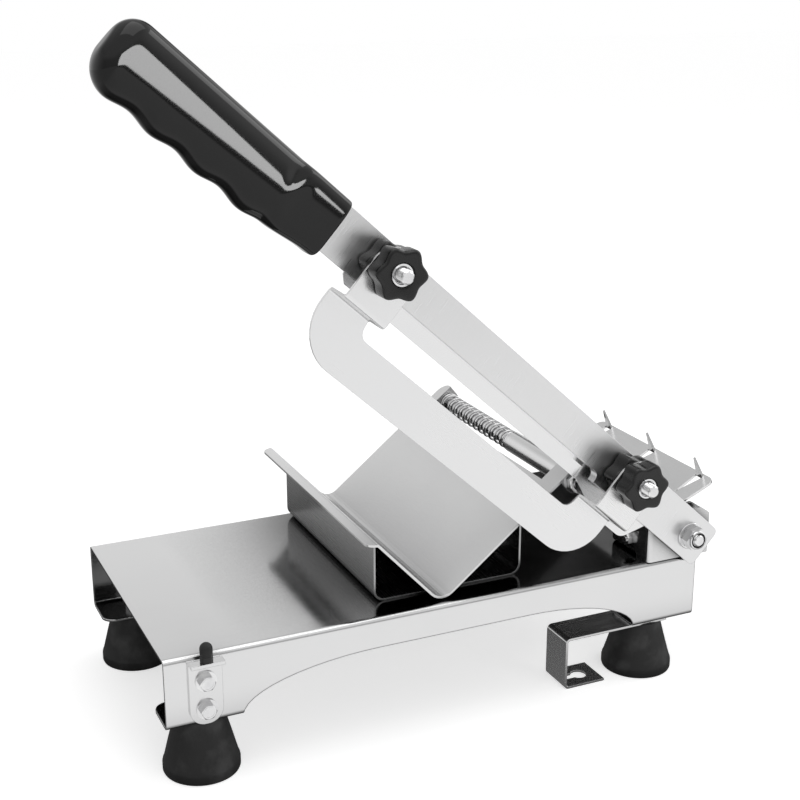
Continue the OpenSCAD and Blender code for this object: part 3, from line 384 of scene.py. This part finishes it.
def axis_matrix(place, way):
    """A frame in millimetres whose z runs along way from a place that is given in metres."""
    turn = way.to_track_quat("Z", "Y").to_matrix().to_4x4()
    return Matrix.Translation(place) @ turn @ Matrix.Scale(MM, 4)


def turned_matrix(place, x, y, z):
    """A frame in millimetres with given axes, at a place that is given in metres."""
    return Matrix.Translation(place) @ Matrix((x, y, z)).transposed().to_4x4() @ Matrix.Scale(MM, 4)


def round_point(matrix, r, a, h):
    return matrix @ Vector((r * math.cos(a), r * math.sin(a), h))


def circle_ring(matrix, r, h, steps):
    return [round_point(matrix, r, a, h) for a in turns(steps)]


def lathe(matrix, profile, steps=48, looped=False):
    """A turned shape from its profile of radius and height."""
    return skin([circle_ring(matrix, r, h, steps) for r, h in profile], looped)


def hexagon_radius(angle, width):
    """Distance from a hexagon's middle to its outline, with a corner at angle 0."""
    sixth = math.pi / 3
    return width / 2 / math.cos(angle % sixth - sixth / 2)


HEXAGON_STEPS = 48
# Radius of a hexagon's turned end face as a share of half its width, and the slope of the cone
# round it
TURNED_SHARE, TURNED_SLOPE = 0.96, math.radians(30)
HOLE_CHAMFER = 0.5


def hexagon_shape(matrix, width, h, hole_r, far_chamfer=True, near_chamfer=True):
    """A nut or a bolt's head: a hexagon whose corners are turned down to a cone at its ends."""
    turned_r = width / 2 * TURNED_SHARE

    def ring(radius, height):
        return [round_point(matrix, radius(a), a, height(radius(a))) for a in turns(HEXAGON_STEPS)]

    def outline(a):
        return hexagon_radius(a, width)

    def constant(value):
        return lambda _: value

    def drop(r):
        return max(0.0, r - turned_r) * math.tan(TURNED_SLOPE)

    def low(r):
        return drop(r) if near_chamfer else 0

    def high(r):
        return h - drop(r) if far_chamfer else h

    face = constant(turned_r)
    rings = [ring(face, low), ring(outline, low), ring(outline, high), ring(face, high)]
    if hole_r:
        wide, tight = constant(hole_r + HOLE_CHAMFER), constant(hole_r)
        rings += [ring(wide, constant(h)), ring(tight, constant(h - HOLE_CHAMFER)),
                  ring(tight, constant(HOLE_CHAMFER)), ring(wide, constant(0))]
    return skin(rings, bool(hole_r))


THREAD_STEPS, THREAD_RINGS_A_TURN = 24, 4
# A thread's depth as a share of its pitch, and a shaft's end chamfer as a share of its radius
THREAD_DEPTH, SHAFT_CHAMFER = 0.45, 0.28


def threaded_shaft(matrix, r, length, pitch, plain):
    """A shaft with a chamfer at each end and a thread past its plain length."""
    depth, chamfer = pitch * THREAD_DEPTH, r * SHAFT_CHAMFER
    rings = [circle_ring(matrix, r - chamfer, 0, THREAD_STEPS)]
    count = int(length / pitch * THREAD_RINGS_A_TURN)
    for i in range(count + 1):
        h = length * i / count
        most = r - max(0.0, chamfer - h, chamfer - (length - h))
        ring = []
        for k, a in enumerate(turns(THREAD_STEPS)):
            phase = (h / pitch - k / THREAD_STEPS) % 1.0
            cut = depth * abs(2 * phase - 1) if h > plain else 0.0
            ring.append(round_point(matrix, min(r - cut, most), a, h))
        rings.append(ring)
    return skin(rings)


def tube(points, r, sides):
    """A round tube along a path of points in metres, without twist."""
    rings = []
    side = None
    for i, point in enumerate(points):
        way = (points[min(i + 1, len(points) - 1)] - points[max(i - 1, 0)]).normalized()
        side = (side - way * side.dot(way)).normalized() if side else way.orthogonal().normalized()
        other = way.cross(side)
        rings.append([point + (side * math.cos(a) + other * math.sin(a)) * r for a in turns(sides)])
    return skin(rings)


# The arm's frame: x runs along the arm from the pivot, y towards the near side, z square to both
PIVOT = joint_place("arm_hinge")
NEAR, UP = Vector((0, -1, 0)), Vector((0, 0, 1))
ARM_UP = ALONG_ARM.cross(NEAR)
ARM = turned_matrix(PIVOT, ALONG_ARM, NEAR, ARM_UP)

# Grip. Places are counted along the arm from the pivot, and heights from the arm's line
GRIP_START, GRIP_END = 314.0, 457.2
GRIP_HALF, COLLAR_THINNER = 13.0, 1.8
GRIP_UP, GRIP_DOWN, COLLAR_DOWN = 15.4, 22.8, 19.0
GRIP_WIDEST = -7.5
# Power of the section's curve, 2 for an ellipse, and what the boxier collar adds to it
GRIP_POWER, COLLAR_POWER = 2.15, 2.2
COLLAR_FROM, COLLAR_TO = 336.0, 348.0
SWELL_START = 317.0
# Finger waves, and the plain length between them and the butt
WAVE_HEIGHT, WAVE_LENGTH, WAVES, PLAIN_BUTT = 1.15, 28.0, 3.5, 15.0
# Radii of the butt's rounding seen from the side, above and below, and from above
BUTT_UP_R, BUTT_DOWN_R, BUTT_HALF_R = 13.0, 15.9, 10.5
GRIP_LIP_R = 1.2
# Steps round the section, over the lip, along the grip and over the butt, and the butt's length
GRIP_STEPS, LIP_STEPS, LENGTH_STEPS, BUTT_STEPS, BUTT_LENGTH = 64, 4, 70, 14, 16
# The mould's oblong dimple by the collar: its place and height, its half sizes, and its depth as a
# share of the grip's half thickness
DIMPLE_PLACE, DIMPLE_HEIGHT, DIMPLE_LONG, DIMPLE_HIGH, DIMPLE_DEPTH = 349, 6, 2.2, 4.0, 0.09


def smooth_step(x, start, stop):
    t = min(1.0, max(0.0, (x - start) / (stop - start)))
    return t * t * (3 - 2 * t)


def grip_section(s):
    """Height over, depth under the arm's line, half thickness and power at a place along the arm."""
    wave_start = GRIP_END - PLAIN_BUTT - WAVES * WAVE_LENGTH
    waves = min(WAVES, max(0.0, (s - wave_start) / WAVE_LENGTH))
    down = GRIP_DOWN - WAVE_HEIGHT * math.cos(2 * math.pi * waves)
    collar = 1 - smooth_step(s, COLLAR_FROM, COLLAR_TO)
    swell = smooth_step(s, SWELL_START, wave_start)
    return (GRIP_UP, COLLAR_DOWN + (down - COLLAR_DOWN) * swell, GRIP_HALF - COLLAR_THINNER * collar,
            GRIP_POWER + COLLAR_POWER * collar)


def rounded_end(s, end, radius):
    """How far an outline has drawn in near a rounded end."""
    over = max(0.0, s - (end - radius))
    return radius - math.sqrt(max(0.0, radius * radius - over * over))


def grip_places():
    """Places of the grip's rings, closer together at both ends."""
    butt_start = GRIP_END - BUTT_LENGTH
    length = butt_start - GRIP_START - GRIP_LIP_R
    lip_angles = [quarter(i, LIP_STEPS) for i in range(LIP_STEPS)]
    butt_angles = [quarter(i, BUTT_STEPS) for i in range(1, BUTT_STEPS + 1)]
    return ([GRIP_START + GRIP_LIP_R * (1 - math.cos(a)) for a in lip_angles]
            + [GRIP_START + GRIP_LIP_R + length * i / LENGTH_STEPS for i in range(LENGTH_STEPS + 1)]
            + [butt_start + BUTT_LENGTH * math.sin(a) for a in butt_angles])


def make_grip():
    rings = []
    for s in grip_places():
        up, down, half, power = grip_section(s)
        before_lip = max(0.0, GRIP_START + GRIP_LIP_R - s)
        lip = GRIP_LIP_R - math.sqrt(max(0.0, GRIP_LIP_R ** 2 - before_lip ** 2))
        up -= rounded_end(s, GRIP_END, BUTT_UP_R) + lip
        down -= rounded_end(s, GRIP_END, BUTT_DOWN_R) + lip
        half -= rounded_end(s, GRIP_END, BUTT_HALF_R) + lip
        over, under = up - GRIP_WIDEST, down + GRIP_WIDEST
        ring = []
        for a in turns(GRIP_STEPS):
            c, z = math.cos(a), math.sin(a)
            y = half * math.copysign(abs(c) ** (2 / power), c)
            t = GRIP_WIDEST + (over if z > 0 else under) * math.copysign(abs(z) ** (2 / power), z)
            dimple = math.exp(-((s - DIMPLE_PLACE) / DIMPLE_LONG) ** 2
                              - ((t - DIMPLE_HEIGHT) / DIMPLE_HIGH) ** 2)
            ring.append(ARM @ Vector((s, y * (1 - DIMPLE_DEPTH * dimple), t)))
        rings.append(ring)
    piece = make_piece("grip_skin", *skin(rings), black_grip, "arm", "grip_plastic", 60)
    soft = piece.modifiers.new("soft", "SUBSURF")
    soft.levels = soft.render_levels = 1
    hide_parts("grip")


# Knobs
KNOB_LOBES, KNOB_R, KNOB_H = 6, 14.8, 12.0
KNOB_STEPS, KNOB_EDGE_R, KNOB_EDGE_STEPS = 96, 1.8, 5
KNOB_HOLE_R = 6.4
# Depth of the hollows between lobes, and a power that sharpens their curve
HOLLOW_DEPTH, HOLLOW_POWER = 2.6, 0.85
# Angles of the knobs' lobes. The front knobs' are the photograph's
KNOB_TURNS = {"knob_front_upper": 27, "knob_front_lower": 15,
              "knob_rear_upper": 40, "knob_rear_lower": 33}


def make_knob(name):
    joint = joint_place(name + "_turn")
    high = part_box(name)[1]
    matrix = turned_matrix(Vector((joint.x, high.y, joint.z)), ALONG_ARM, ARM_UP, NEAR)
    start = math.radians(KNOB_TURNS[name])

    def lobed(inset, h):
        ring = []
        for a in turns(KNOB_STEPS):
            wave = (1 - math.cos(KNOB_LOBES * (a - start))) / 2
            r = KNOB_R - HOLLOW_DEPTH * wave ** HOLLOW_POWER - inset
            ring.append(round_point(matrix, r, a, h))
        return ring

    angles = [quarter(i, KNOB_EDGE_STEPS) for i in range(KNOB_EDGE_STEPS + 1)]
    edge = [(KNOB_EDGE_R * (1 - math.cos(a)), KNOB_EDGE_R * (1 - math.sin(a))) for a in angles]
    # The face slopes in a little from a line inside the rim to the hole, which is rounded at both ends
    hole = [(KNOB_HOLE_R + 1.3, KNOB_H - 0.05), (KNOB_HOLE_R + 0.4, KNOB_H - 0.15),
            (KNOB_HOLE_R, KNOB_H - 0.7), (KNOB_HOLE_R, 0.7)]
    rings = [circle_ring(matrix, KNOB_HOLE_R + 0.4, 0, KNOB_STEPS)]
    rings += [lobed(inset, h) for inset, h in reversed(edge)]
    rings += [lobed(inset, KNOB_H - h) for inset, h in edge]
    rings.append(lobed(2.4, KNOB_H - 0.02))
    rings += [circle_ring(matrix, r, h, KNOB_STEPS) for r, h in hole]
    piece = make_piece(name + "_skin", *skin(rings, True), black_knob, name, "knob_plastic", 45)
    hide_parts(name)


def make_insert(name):
    """The threaded insert in a knob: a ring with a raised, rounded rim at each end."""
    joint = joint_place(name.replace("insert", "knob") + "_turn")
    low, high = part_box(name)
    matrix = axis_matrix(Vector((joint.x, high.y, joint.z)), NEAR)
    h = (high.y - low.y) / MM
    end = [(4.5, 0.0), (4.9, -0.35), (5.9, -0.35), (6.3, 0.2)]
    profile = end + [(r, h - z) for r, z in reversed(end)] + [(4.1, h - 0.6), (4.1, 0.6)]
    piece = make_piece(name + "_ring", *lathe(matrix, profile, looped=True), bright,
                       name.replace("insert", "knob"), "insert_steel")
    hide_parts(name)


# Studs and fasteners, most with a thread of 8 mm
BOLT_R, BOLT_PITCH, BOLT_HOLE_R = 4.0, 1.25, 4.05
NUT_WIDTH, NUT_H, THIN_NUT_H, HEAD_H = 12.8, 6.4, 4.0, 5.3
# Plain length at a stud's far end, and the thread's length at the pivot bolt's near end
STUD_PLAIN, PIVOT_THREAD = 4.5, 11
WASHER_R, WASHER_H, SPACER_H, WASHER_EDGE = 8.4, 1.4, 1.6, 0.3
STOP_HEAD_WIDTH, STOP_HEAD_H = 8.0, 3.5
# Thickness of the trough's ears, and the slope of its right side, which the rod's nuts are turned to
EAR_T, RIGHT_SLOPE = 1.5, math.radians(38.7)


def make_stud(name, joint_name):
    low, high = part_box(name)
    joint = joint_place(joint_name)
    matrix = axis_matrix(Vector((joint.x, high.y, joint.z)), NEAR)
    shape = threaded_shaft(matrix, BOLT_R, (high.y - low.y) / MM, BOLT_PITCH, STUD_PLAIN)
    piece = make_steel_piece(name + "_thread", shape, "arm")
    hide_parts(name)


def make_pivot_nut():
    """A lock nut: a hexagon, the rounded collar on it and the nylon ring in the collar."""
    low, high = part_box("pivot_nut")
    matrix = axis_matrix(Vector((PIVOT.x, high.y, PIVOT.z)), NEAR)
    h = (high.y - low.y) / MM
    shape = hexagon_shape(matrix, NUT_WIDTH, NUT_H, BOLT_HOLE_R, far_chamfer=False)
    piece = make_steel_piece("pivot_nut_hex", shape, "base")
    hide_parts("pivot_nut")
    nylon_r = 4.9
    collar = [(nylon_r, NUT_H - 0.2), (5.9, NUT_H - 0.2), (6.0, NUT_H + 0.3), (6.0, h - 0.8),
              (5.7, h - 0.25), (5.2, h), (nylon_r, h - 0.1)]
    make_steel_piece("pivot_nut_collar", lathe(matrix, collar, looped=True), "base")
    ring = [(BOLT_HOLE_R, NUT_H), (nylon_r, NUT_H), (nylon_r, h - 0.7), (4.5, h - 0.5),
            (BOLT_HOLE_R, h - 0.7)]
    make_piece("pivot_nut_nylon", *lathe(matrix, ring, looped=True), nylon, "base", "grip_plastic")


def make_pivot_bolt():
    low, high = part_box("pivot_bolt")
    matrix = axis_matrix(Vector((PIVOT.x, high.y, PIVOT.z)), NEAR)
    length = (high.y - low.y) / MM - HEAD_H
    head = make_steel_piece("pivot_bolt_head", hexagon_shape(matrix, NUT_WIDTH, HEAD_H, 0), "base")
    shaft = axis_matrix(Vector((PIVOT.x, high.y - HEAD_H * MM, PIVOT.z)), NEAR)
    shape = threaded_shaft(shaft, BOLT_R, length, BOLT_PITCH, length - PIVOT_THREAD)
    make_steel_piece("pivot_bolt_shaft", shape, "base")
    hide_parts("pivot_bolt")


def make_washer(node, h):
    """A washer with rounded edges on the pivot."""
    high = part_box(node)[1]
    matrix = axis_matrix(Vector((PIVOT.x, high.y, PIVOT.z)), NEAR)
    flat_r = WASHER_R - WASHER_EDGE
    profile = [(BOLT_HOLE_R, 0), (flat_r, 0), (WASHER_R, WASHER_EDGE), (WASHER_R, h - WASHER_EDGE),
               (flat_r, h), (BOLT_HOLE_R, h)]
    piece = make_steel_piece(node + "_0", lathe(matrix, profile, looped=True), "base")
    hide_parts(node)


def make_stop_bolts():
    """Two bolts with a raised rim on the hexagon head."""
    low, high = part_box("stop_bolts")
    x = (low.x + high.x) / 2
    for i, z in enumerate((low.z + STOP_HEAD_WIDTH / 2 * MM, high.z - STOP_HEAD_WIDTH / 2 * MM)):
        matrix = axis_matrix(Vector((x, low.y + STOP_HEAD_H * MM, z)), NEAR)
        shape = hexagon_shape(matrix, STOP_HEAD_WIDTH, STOP_HEAD_H, 0, near_chamfer=False)
        head = make_steel_piece("stop_bolt_%d" % i, shape, "base")
        sunk, raised = STOP_HEAD_H - 0.1, STOP_HEAD_H + 0.12
        rim = [(2.9, sunk), (3.3, sunk), (3.3, raised), (2.9, raised)]
        make_steel_piece("stop_bolt_rim_%d" % i, lathe(matrix, rim, 32, True), "base", 60)
        if i == 0:
            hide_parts("stop_bolts")


def make_rod_nuts():
    """Thin nuts on each face of the rod's near ear and a full nut behind its far ear."""
    low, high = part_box("rod_nuts")
    rod = middle("guide_rod")
    starts = [(low.y, THIN_NUT_H), (low.y + (THIN_NUT_H + EAR_T) * MM, THIN_NUT_H),
              (high.y - NUT_H * MM, NUT_H)]
    for i, (y, h) in enumerate(starts):
        turn = Matrix.Rotation(RIGHT_SLOPE, 4, "Y")
        matrix = (Matrix.Translation(Vector((rod.x, y, rod.z))) @ turn.inverted()
                  @ Matrix.Rotation(-math.pi / 2, 4, "X") @ Matrix.Scale(MM, 4))
        shape = hexagon_shape(matrix, NUT_WIDTH, h, BOLT_HOLE_R)
        nut = make_steel_piece("rod_nut_%d" % i, shape, "base")
        if i == 0:
            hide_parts("rod_nuts")


# Feet and stop cap
FOOT_R, FOOT_SCREW_R, RECESS_R, RECESS_DEPTH = 21.7, 3.05, 8.0, 5.5
FOOT_FASTENERS = ("foot_screws", "foot_nuts")


def make_foot(name):
    """A tapered foot with a straight, rounded rim, a screw hole and a recess for the screw's head."""
    low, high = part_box(name)
    centre = middle(name)
    h = (high.z - low.z) / MM
    matrix = axis_matrix(Vector((centre.x, centre.y, low.z)), UP)
    recess = [(FOOT_SCREW_R, RECESS_DEPTH), (RECESS_R, RECESS_DEPTH), (RECESS_R, 0.5),
              (RECESS_R + 0.5, 0)]
    rim = [(20.7, 0), (21.4, 0.35), (FOOT_R, 1.1), (FOOT_R, 5.0), (21.45, 6.1), (20.9, 7.3)]
    taper = [(17.6, h - 14), (15.2, h - 5.2), (14.1, h - 1.2), (13.2, h), (FOOT_SCREW_R, h)]
    piece = make_piece(name + "_rubber", *lathe(matrix, recess + rim + taper, 72, True), black_rubber,
                       "base", "rubber", 35)
    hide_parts(name)


def make_stop_cap():
    """A round cap with a domed top and a faint step near its foot."""
    low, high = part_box("stop_cap")
    centre = middle("stop_cap")
    h, r = (high.z - low.z) / MM, (high.x - low.x) / 2 / MM
    matrix = axis_matrix(Vector((centre.x, centre.y, low.z)), UP)
    angles = [math.radians(15 * i) for i in range(6)]
    dome = [(r * math.cos(a), h - r + r * math.sin(a)) for a in angles]
    profile = [(r - 0.3, 0), (r, 0.3), (r, 3.3), (r - 0.25, 3.6), (r - 0.05, 4.0)] + dome
    piece = make_piece("stop_cap_rubber", *lathe(matrix, profile, 40), black_rubber, "base", "rubber",
                       35)
    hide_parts("stop_cap")


# Spring
CURLS, WIRE_R, COIL_R, CLOSED_PITCH = 13.5, 0.75, 5.85, 2.2
CURL_STEPS, WIRE_STEPS = 24, 10


def make_spring():
    """The return spring, with a close curl at both ends."""
    low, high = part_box("return_spring")
    rod = middle("guide_rod")
    length = (high.y - low.y) / MM
    open_pitch = (length - 2 * WIRE_R - 2 * CLOSED_PITCH) / (CURLS - 2)
    points = []
    for i in range(int(CURLS * CURL_STEPS) + 1):
        n = i / CURL_STEPS
        y = min(n, 1) * CLOSED_PITCH + min(max(n - 1, 0), CURLS - 2) * open_pitch
        y += max(n - CURLS + 1, 0) * CLOSED_PITCH
        a = 2 * math.pi * n
        points.append(Vector((rod.x + COIL_R * MM * math.cos(a), low.y + (WIRE_R + y) * MM,
                              rod.z + COIL_R * MM * math.sin(a))))
    piece = make_piece("spring_wire_coil", *tube(points, WIRE_R * MM, WIRE_STEPS), spring_wire, "base",
                       "spring_steel", 60)
    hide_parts("return_spring")
    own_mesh(piece)


def make_pieces():
    make_grip()
    for name in node_names("knob_"):
        make_knob(name)
    for name in node_names("insert_"):
        make_insert(name)
    make_stud("stud_lower", "knob_front_lower_turn")
    make_stud("stud_upper", "knob_front_upper_turn")
    make_pivot_nut()
    make_pivot_bolt()
    make_washer("pivot_washer", WASHER_H)
    make_washer("pivot_spacer", SPACER_H)
    make_stop_bolts()
    make_rod_nuts()
    for name in node_names("foot_"):
        if name not in FOOT_FASTENERS:
            make_foot(name)
    make_stop_cap()
    make_spring()


# Studio: floor, backdrop colour and lamps
WHITE = grey(1)
FLOOR_HALF = 6.0
FLOOR_NEAR, FLOOR_FAR = -3.2, 1.2
# Brightness of the floor as metal mirrors it, at places from the near side to the far side
FLOOR_MIRRORED = [(-2.9, 0.12), (-2.3, 1.0), (-0.7, 0.99), (-0.35, 1.0), (-0.16, 1.05), (-0.07, 0.14),
                  (0.2, 0.03), (0.4, 0.3), (1.0, 0.92)]
# The same further left, and where it takes over
LEFT_MIRRORED, LEFT_FROM, LEFT_TO = 0.7, -0.35, -0.7
# Light that the floor adds in the camera's view, and how light its own colour is, first in general
# and then where metal mirrors it
FLOOR_GLOW, FLOOR_COLOUR, MIRRORED_COLOUR = 0.62, 0.8, 0.02


def ray_kind(add, kind):
    """1 for rays of one kind, and 0 for others."""
    return add("ShaderNodeLightPath", {}, kind)


def make_floor():
    corners = [(-1, -1), (1, -1), (1, 1), (-1, 1)]
    mesh = bpy.data.meshes.new("floor")
    mesh.from_pydata([(x * FLOOR_HALF, y * FLOOR_HALF, 0) for x, y in corners], [], [(0, 1, 2, 3)])
    floor = bpy.data.objects.new("floor", mesh)
    bpy.context.scene.collection.objects.link(floor)
    made, shader, add, link = new_material("floor")
    shader.inputs["Roughness"].default_value = 0.9
    shader.inputs["Specular IOR Level"].default_value = 0.1
    shader.inputs["Emission Color"].default_value = WHITE
    seen, mirrored = ray_kind(add, "Is Camera Ray"), ray_kind(add, "Is Glossy Ray")
    place = object_place(add)
    x, y = (add("ShaderNodeSeparateXYZ", {0: place}, axis) for axis in "XY")
    span = FLOOR_FAR - FLOOR_NEAR
    stops = [((at - FLOOR_NEAR) / span, brightness) for at, brightness in FLOOR_MIRRORED]
    glow = ramp(add, between(add, y, 0, 1, FLOOR_NEAR, FLOOR_FAR), stops)
    glow = mix(add, between(add, x, 0, 1, LEFT_FROM, LEFT_TO), glow, grey(LEFT_MIRRORED))
    in_mirror = maths(add, "MULTIPLY", glow, mirrored)
    in_view = maths(add, "MULTIPLY", seen, FLOOR_GLOW)
    link(maths(add, "ADD", in_mirror, in_view), shader.inputs["Emission Strength"])
    link(mix(add, mirrored, grey(FLOOR_COLOUR), grey(MIRRORED_COLOUR)), shader.inputs["Base Color"])
    paint(floor, made)


# Brightness of the far and the near side of the room as metal mirrors them, from level to straight up
FAR_SIDE = [(0, 0.92), (0.35, 0.95), (0.5, 0.78), (0.62, 0.6), (0.8, 0.8), (1, 0.9)]
NEAR_SIDE = [(0, 0.45), (0.3, 0.5), (0.6, 0.9), (1, 0.9)]
NEAR_TO_FAR = (-0.3, 0.4)
RIGHT_SIDE, TO_RIGHT = 1.2, (0.6, 0.8)
# Direction, half angles and brightness of a dark gap beside the backdrop
DARK_GAP = (0.5174, 0.7528, 0.4067)
GAP_EDGE, GAP_CORE, GAP_BRIGHTNESS = math.radians(12), math.radians(8), 0.015
EVEN_LIGHT = 0.45


def make_world():
    """White behind the slicer, an even light on it, and a graded room for metal to mirror."""
    world = bpy.data.worlds.new("studio")
    world.use_nodes = True
    bpy.context.scene.world = world
    tree = world.node_tree
    tree.nodes.clear()
    add = node_adder(tree)
    way = add("ShaderNodeTexCoord", {}, "Generated")
    x, y, z = (add("ShaderNodeSeparateXYZ", {0: way}, axis) for axis in "XYZ")
    near, far = ramp(add, z, NEAR_SIDE), ramp(add, z, FAR_SIDE)
    room = mix(add, between(add, y, 0, 1, *NEAR_TO_FAR), near, far)
    room = mix(add, between(add, x, 0, 1, *TO_RIGHT), room, grey(RIGHT_SIDE))
    nearness = add("ShaderNodeVectorMath", {0: way, 1: DARK_GAP}, "Value", operation="DOT_PRODUCT")
    gap = between(add, nearness, 0, 1, math.cos(GAP_EDGE), math.cos(GAP_CORE))
    room = mix(add, gap, room, grey(GAP_BRIGHTNESS))
    light = mix(add, ray_kind(add, "Is Glossy Ray"), grey(EVEN_LIGHT), room)
    white = maths(add, "MAXIMUM", ray_kind(add, "Is Camera Ray"), ray_kind(add, "Is Transmission Ray"))
    shown = add("ShaderNodeBackground", {0: mix(add, white, light, WHITE), 1: 1})
    add("ShaderNodeOutputWorld", {0: shown})


# Name, place, size and power of each lamp, whether glossy faces mirror it, and the piece that it
# lights where it lights only one. Each lamp faces the slicer
LAMPS = [
    ("key", (0.3, -1.34, 0.65), (1.2, 0.5), 4, False, None),
    ("side", (1.5, 0.0, 1.2), (0.8, 0.8), 4, True, None),
    ("top", (0.1, -0.1, 1.7), (1.3, 1.3), 6, True, None),
    ("grip_stripe", (0.22, -1.34, 0.58), (1.04, 0.62), 33, True, "grip_skin"),
]
LAMP_TARGET = Vector((0, 0, 0.2))


def make_lamps():
    for name, place, size, power, mirrored, only in LAMPS:
        data = bpy.data.lights.new(name, "AREA")
        data.shape = "RECTANGLE"
        data.size, data.size_y = size
        data.energy = power
        lamp = bpy.data.objects.new(name, data)
        lamp.location = place
        lamp.rotation_mode = "QUATERNION"
        lamp.rotation_quaternion = (LAMP_TARGET - lamp.location).to_track_quat("-Z", "Y")
        lamp.visible_glossy = mirrored
        bpy.context.scene.collection.objects.link(lamp)
        if only:
            lit = bpy.data.collections.new(name + "_lights")
            lit.objects.link(bpy.data.objects[only])
            lamp.light_linking.receiver_collection = lit


bpy.context.scene.view_settings.view_transform = "Standard"
make_camera()
paint_nodes()
make_pieces()
make_floor()
make_world()
make_lamps()
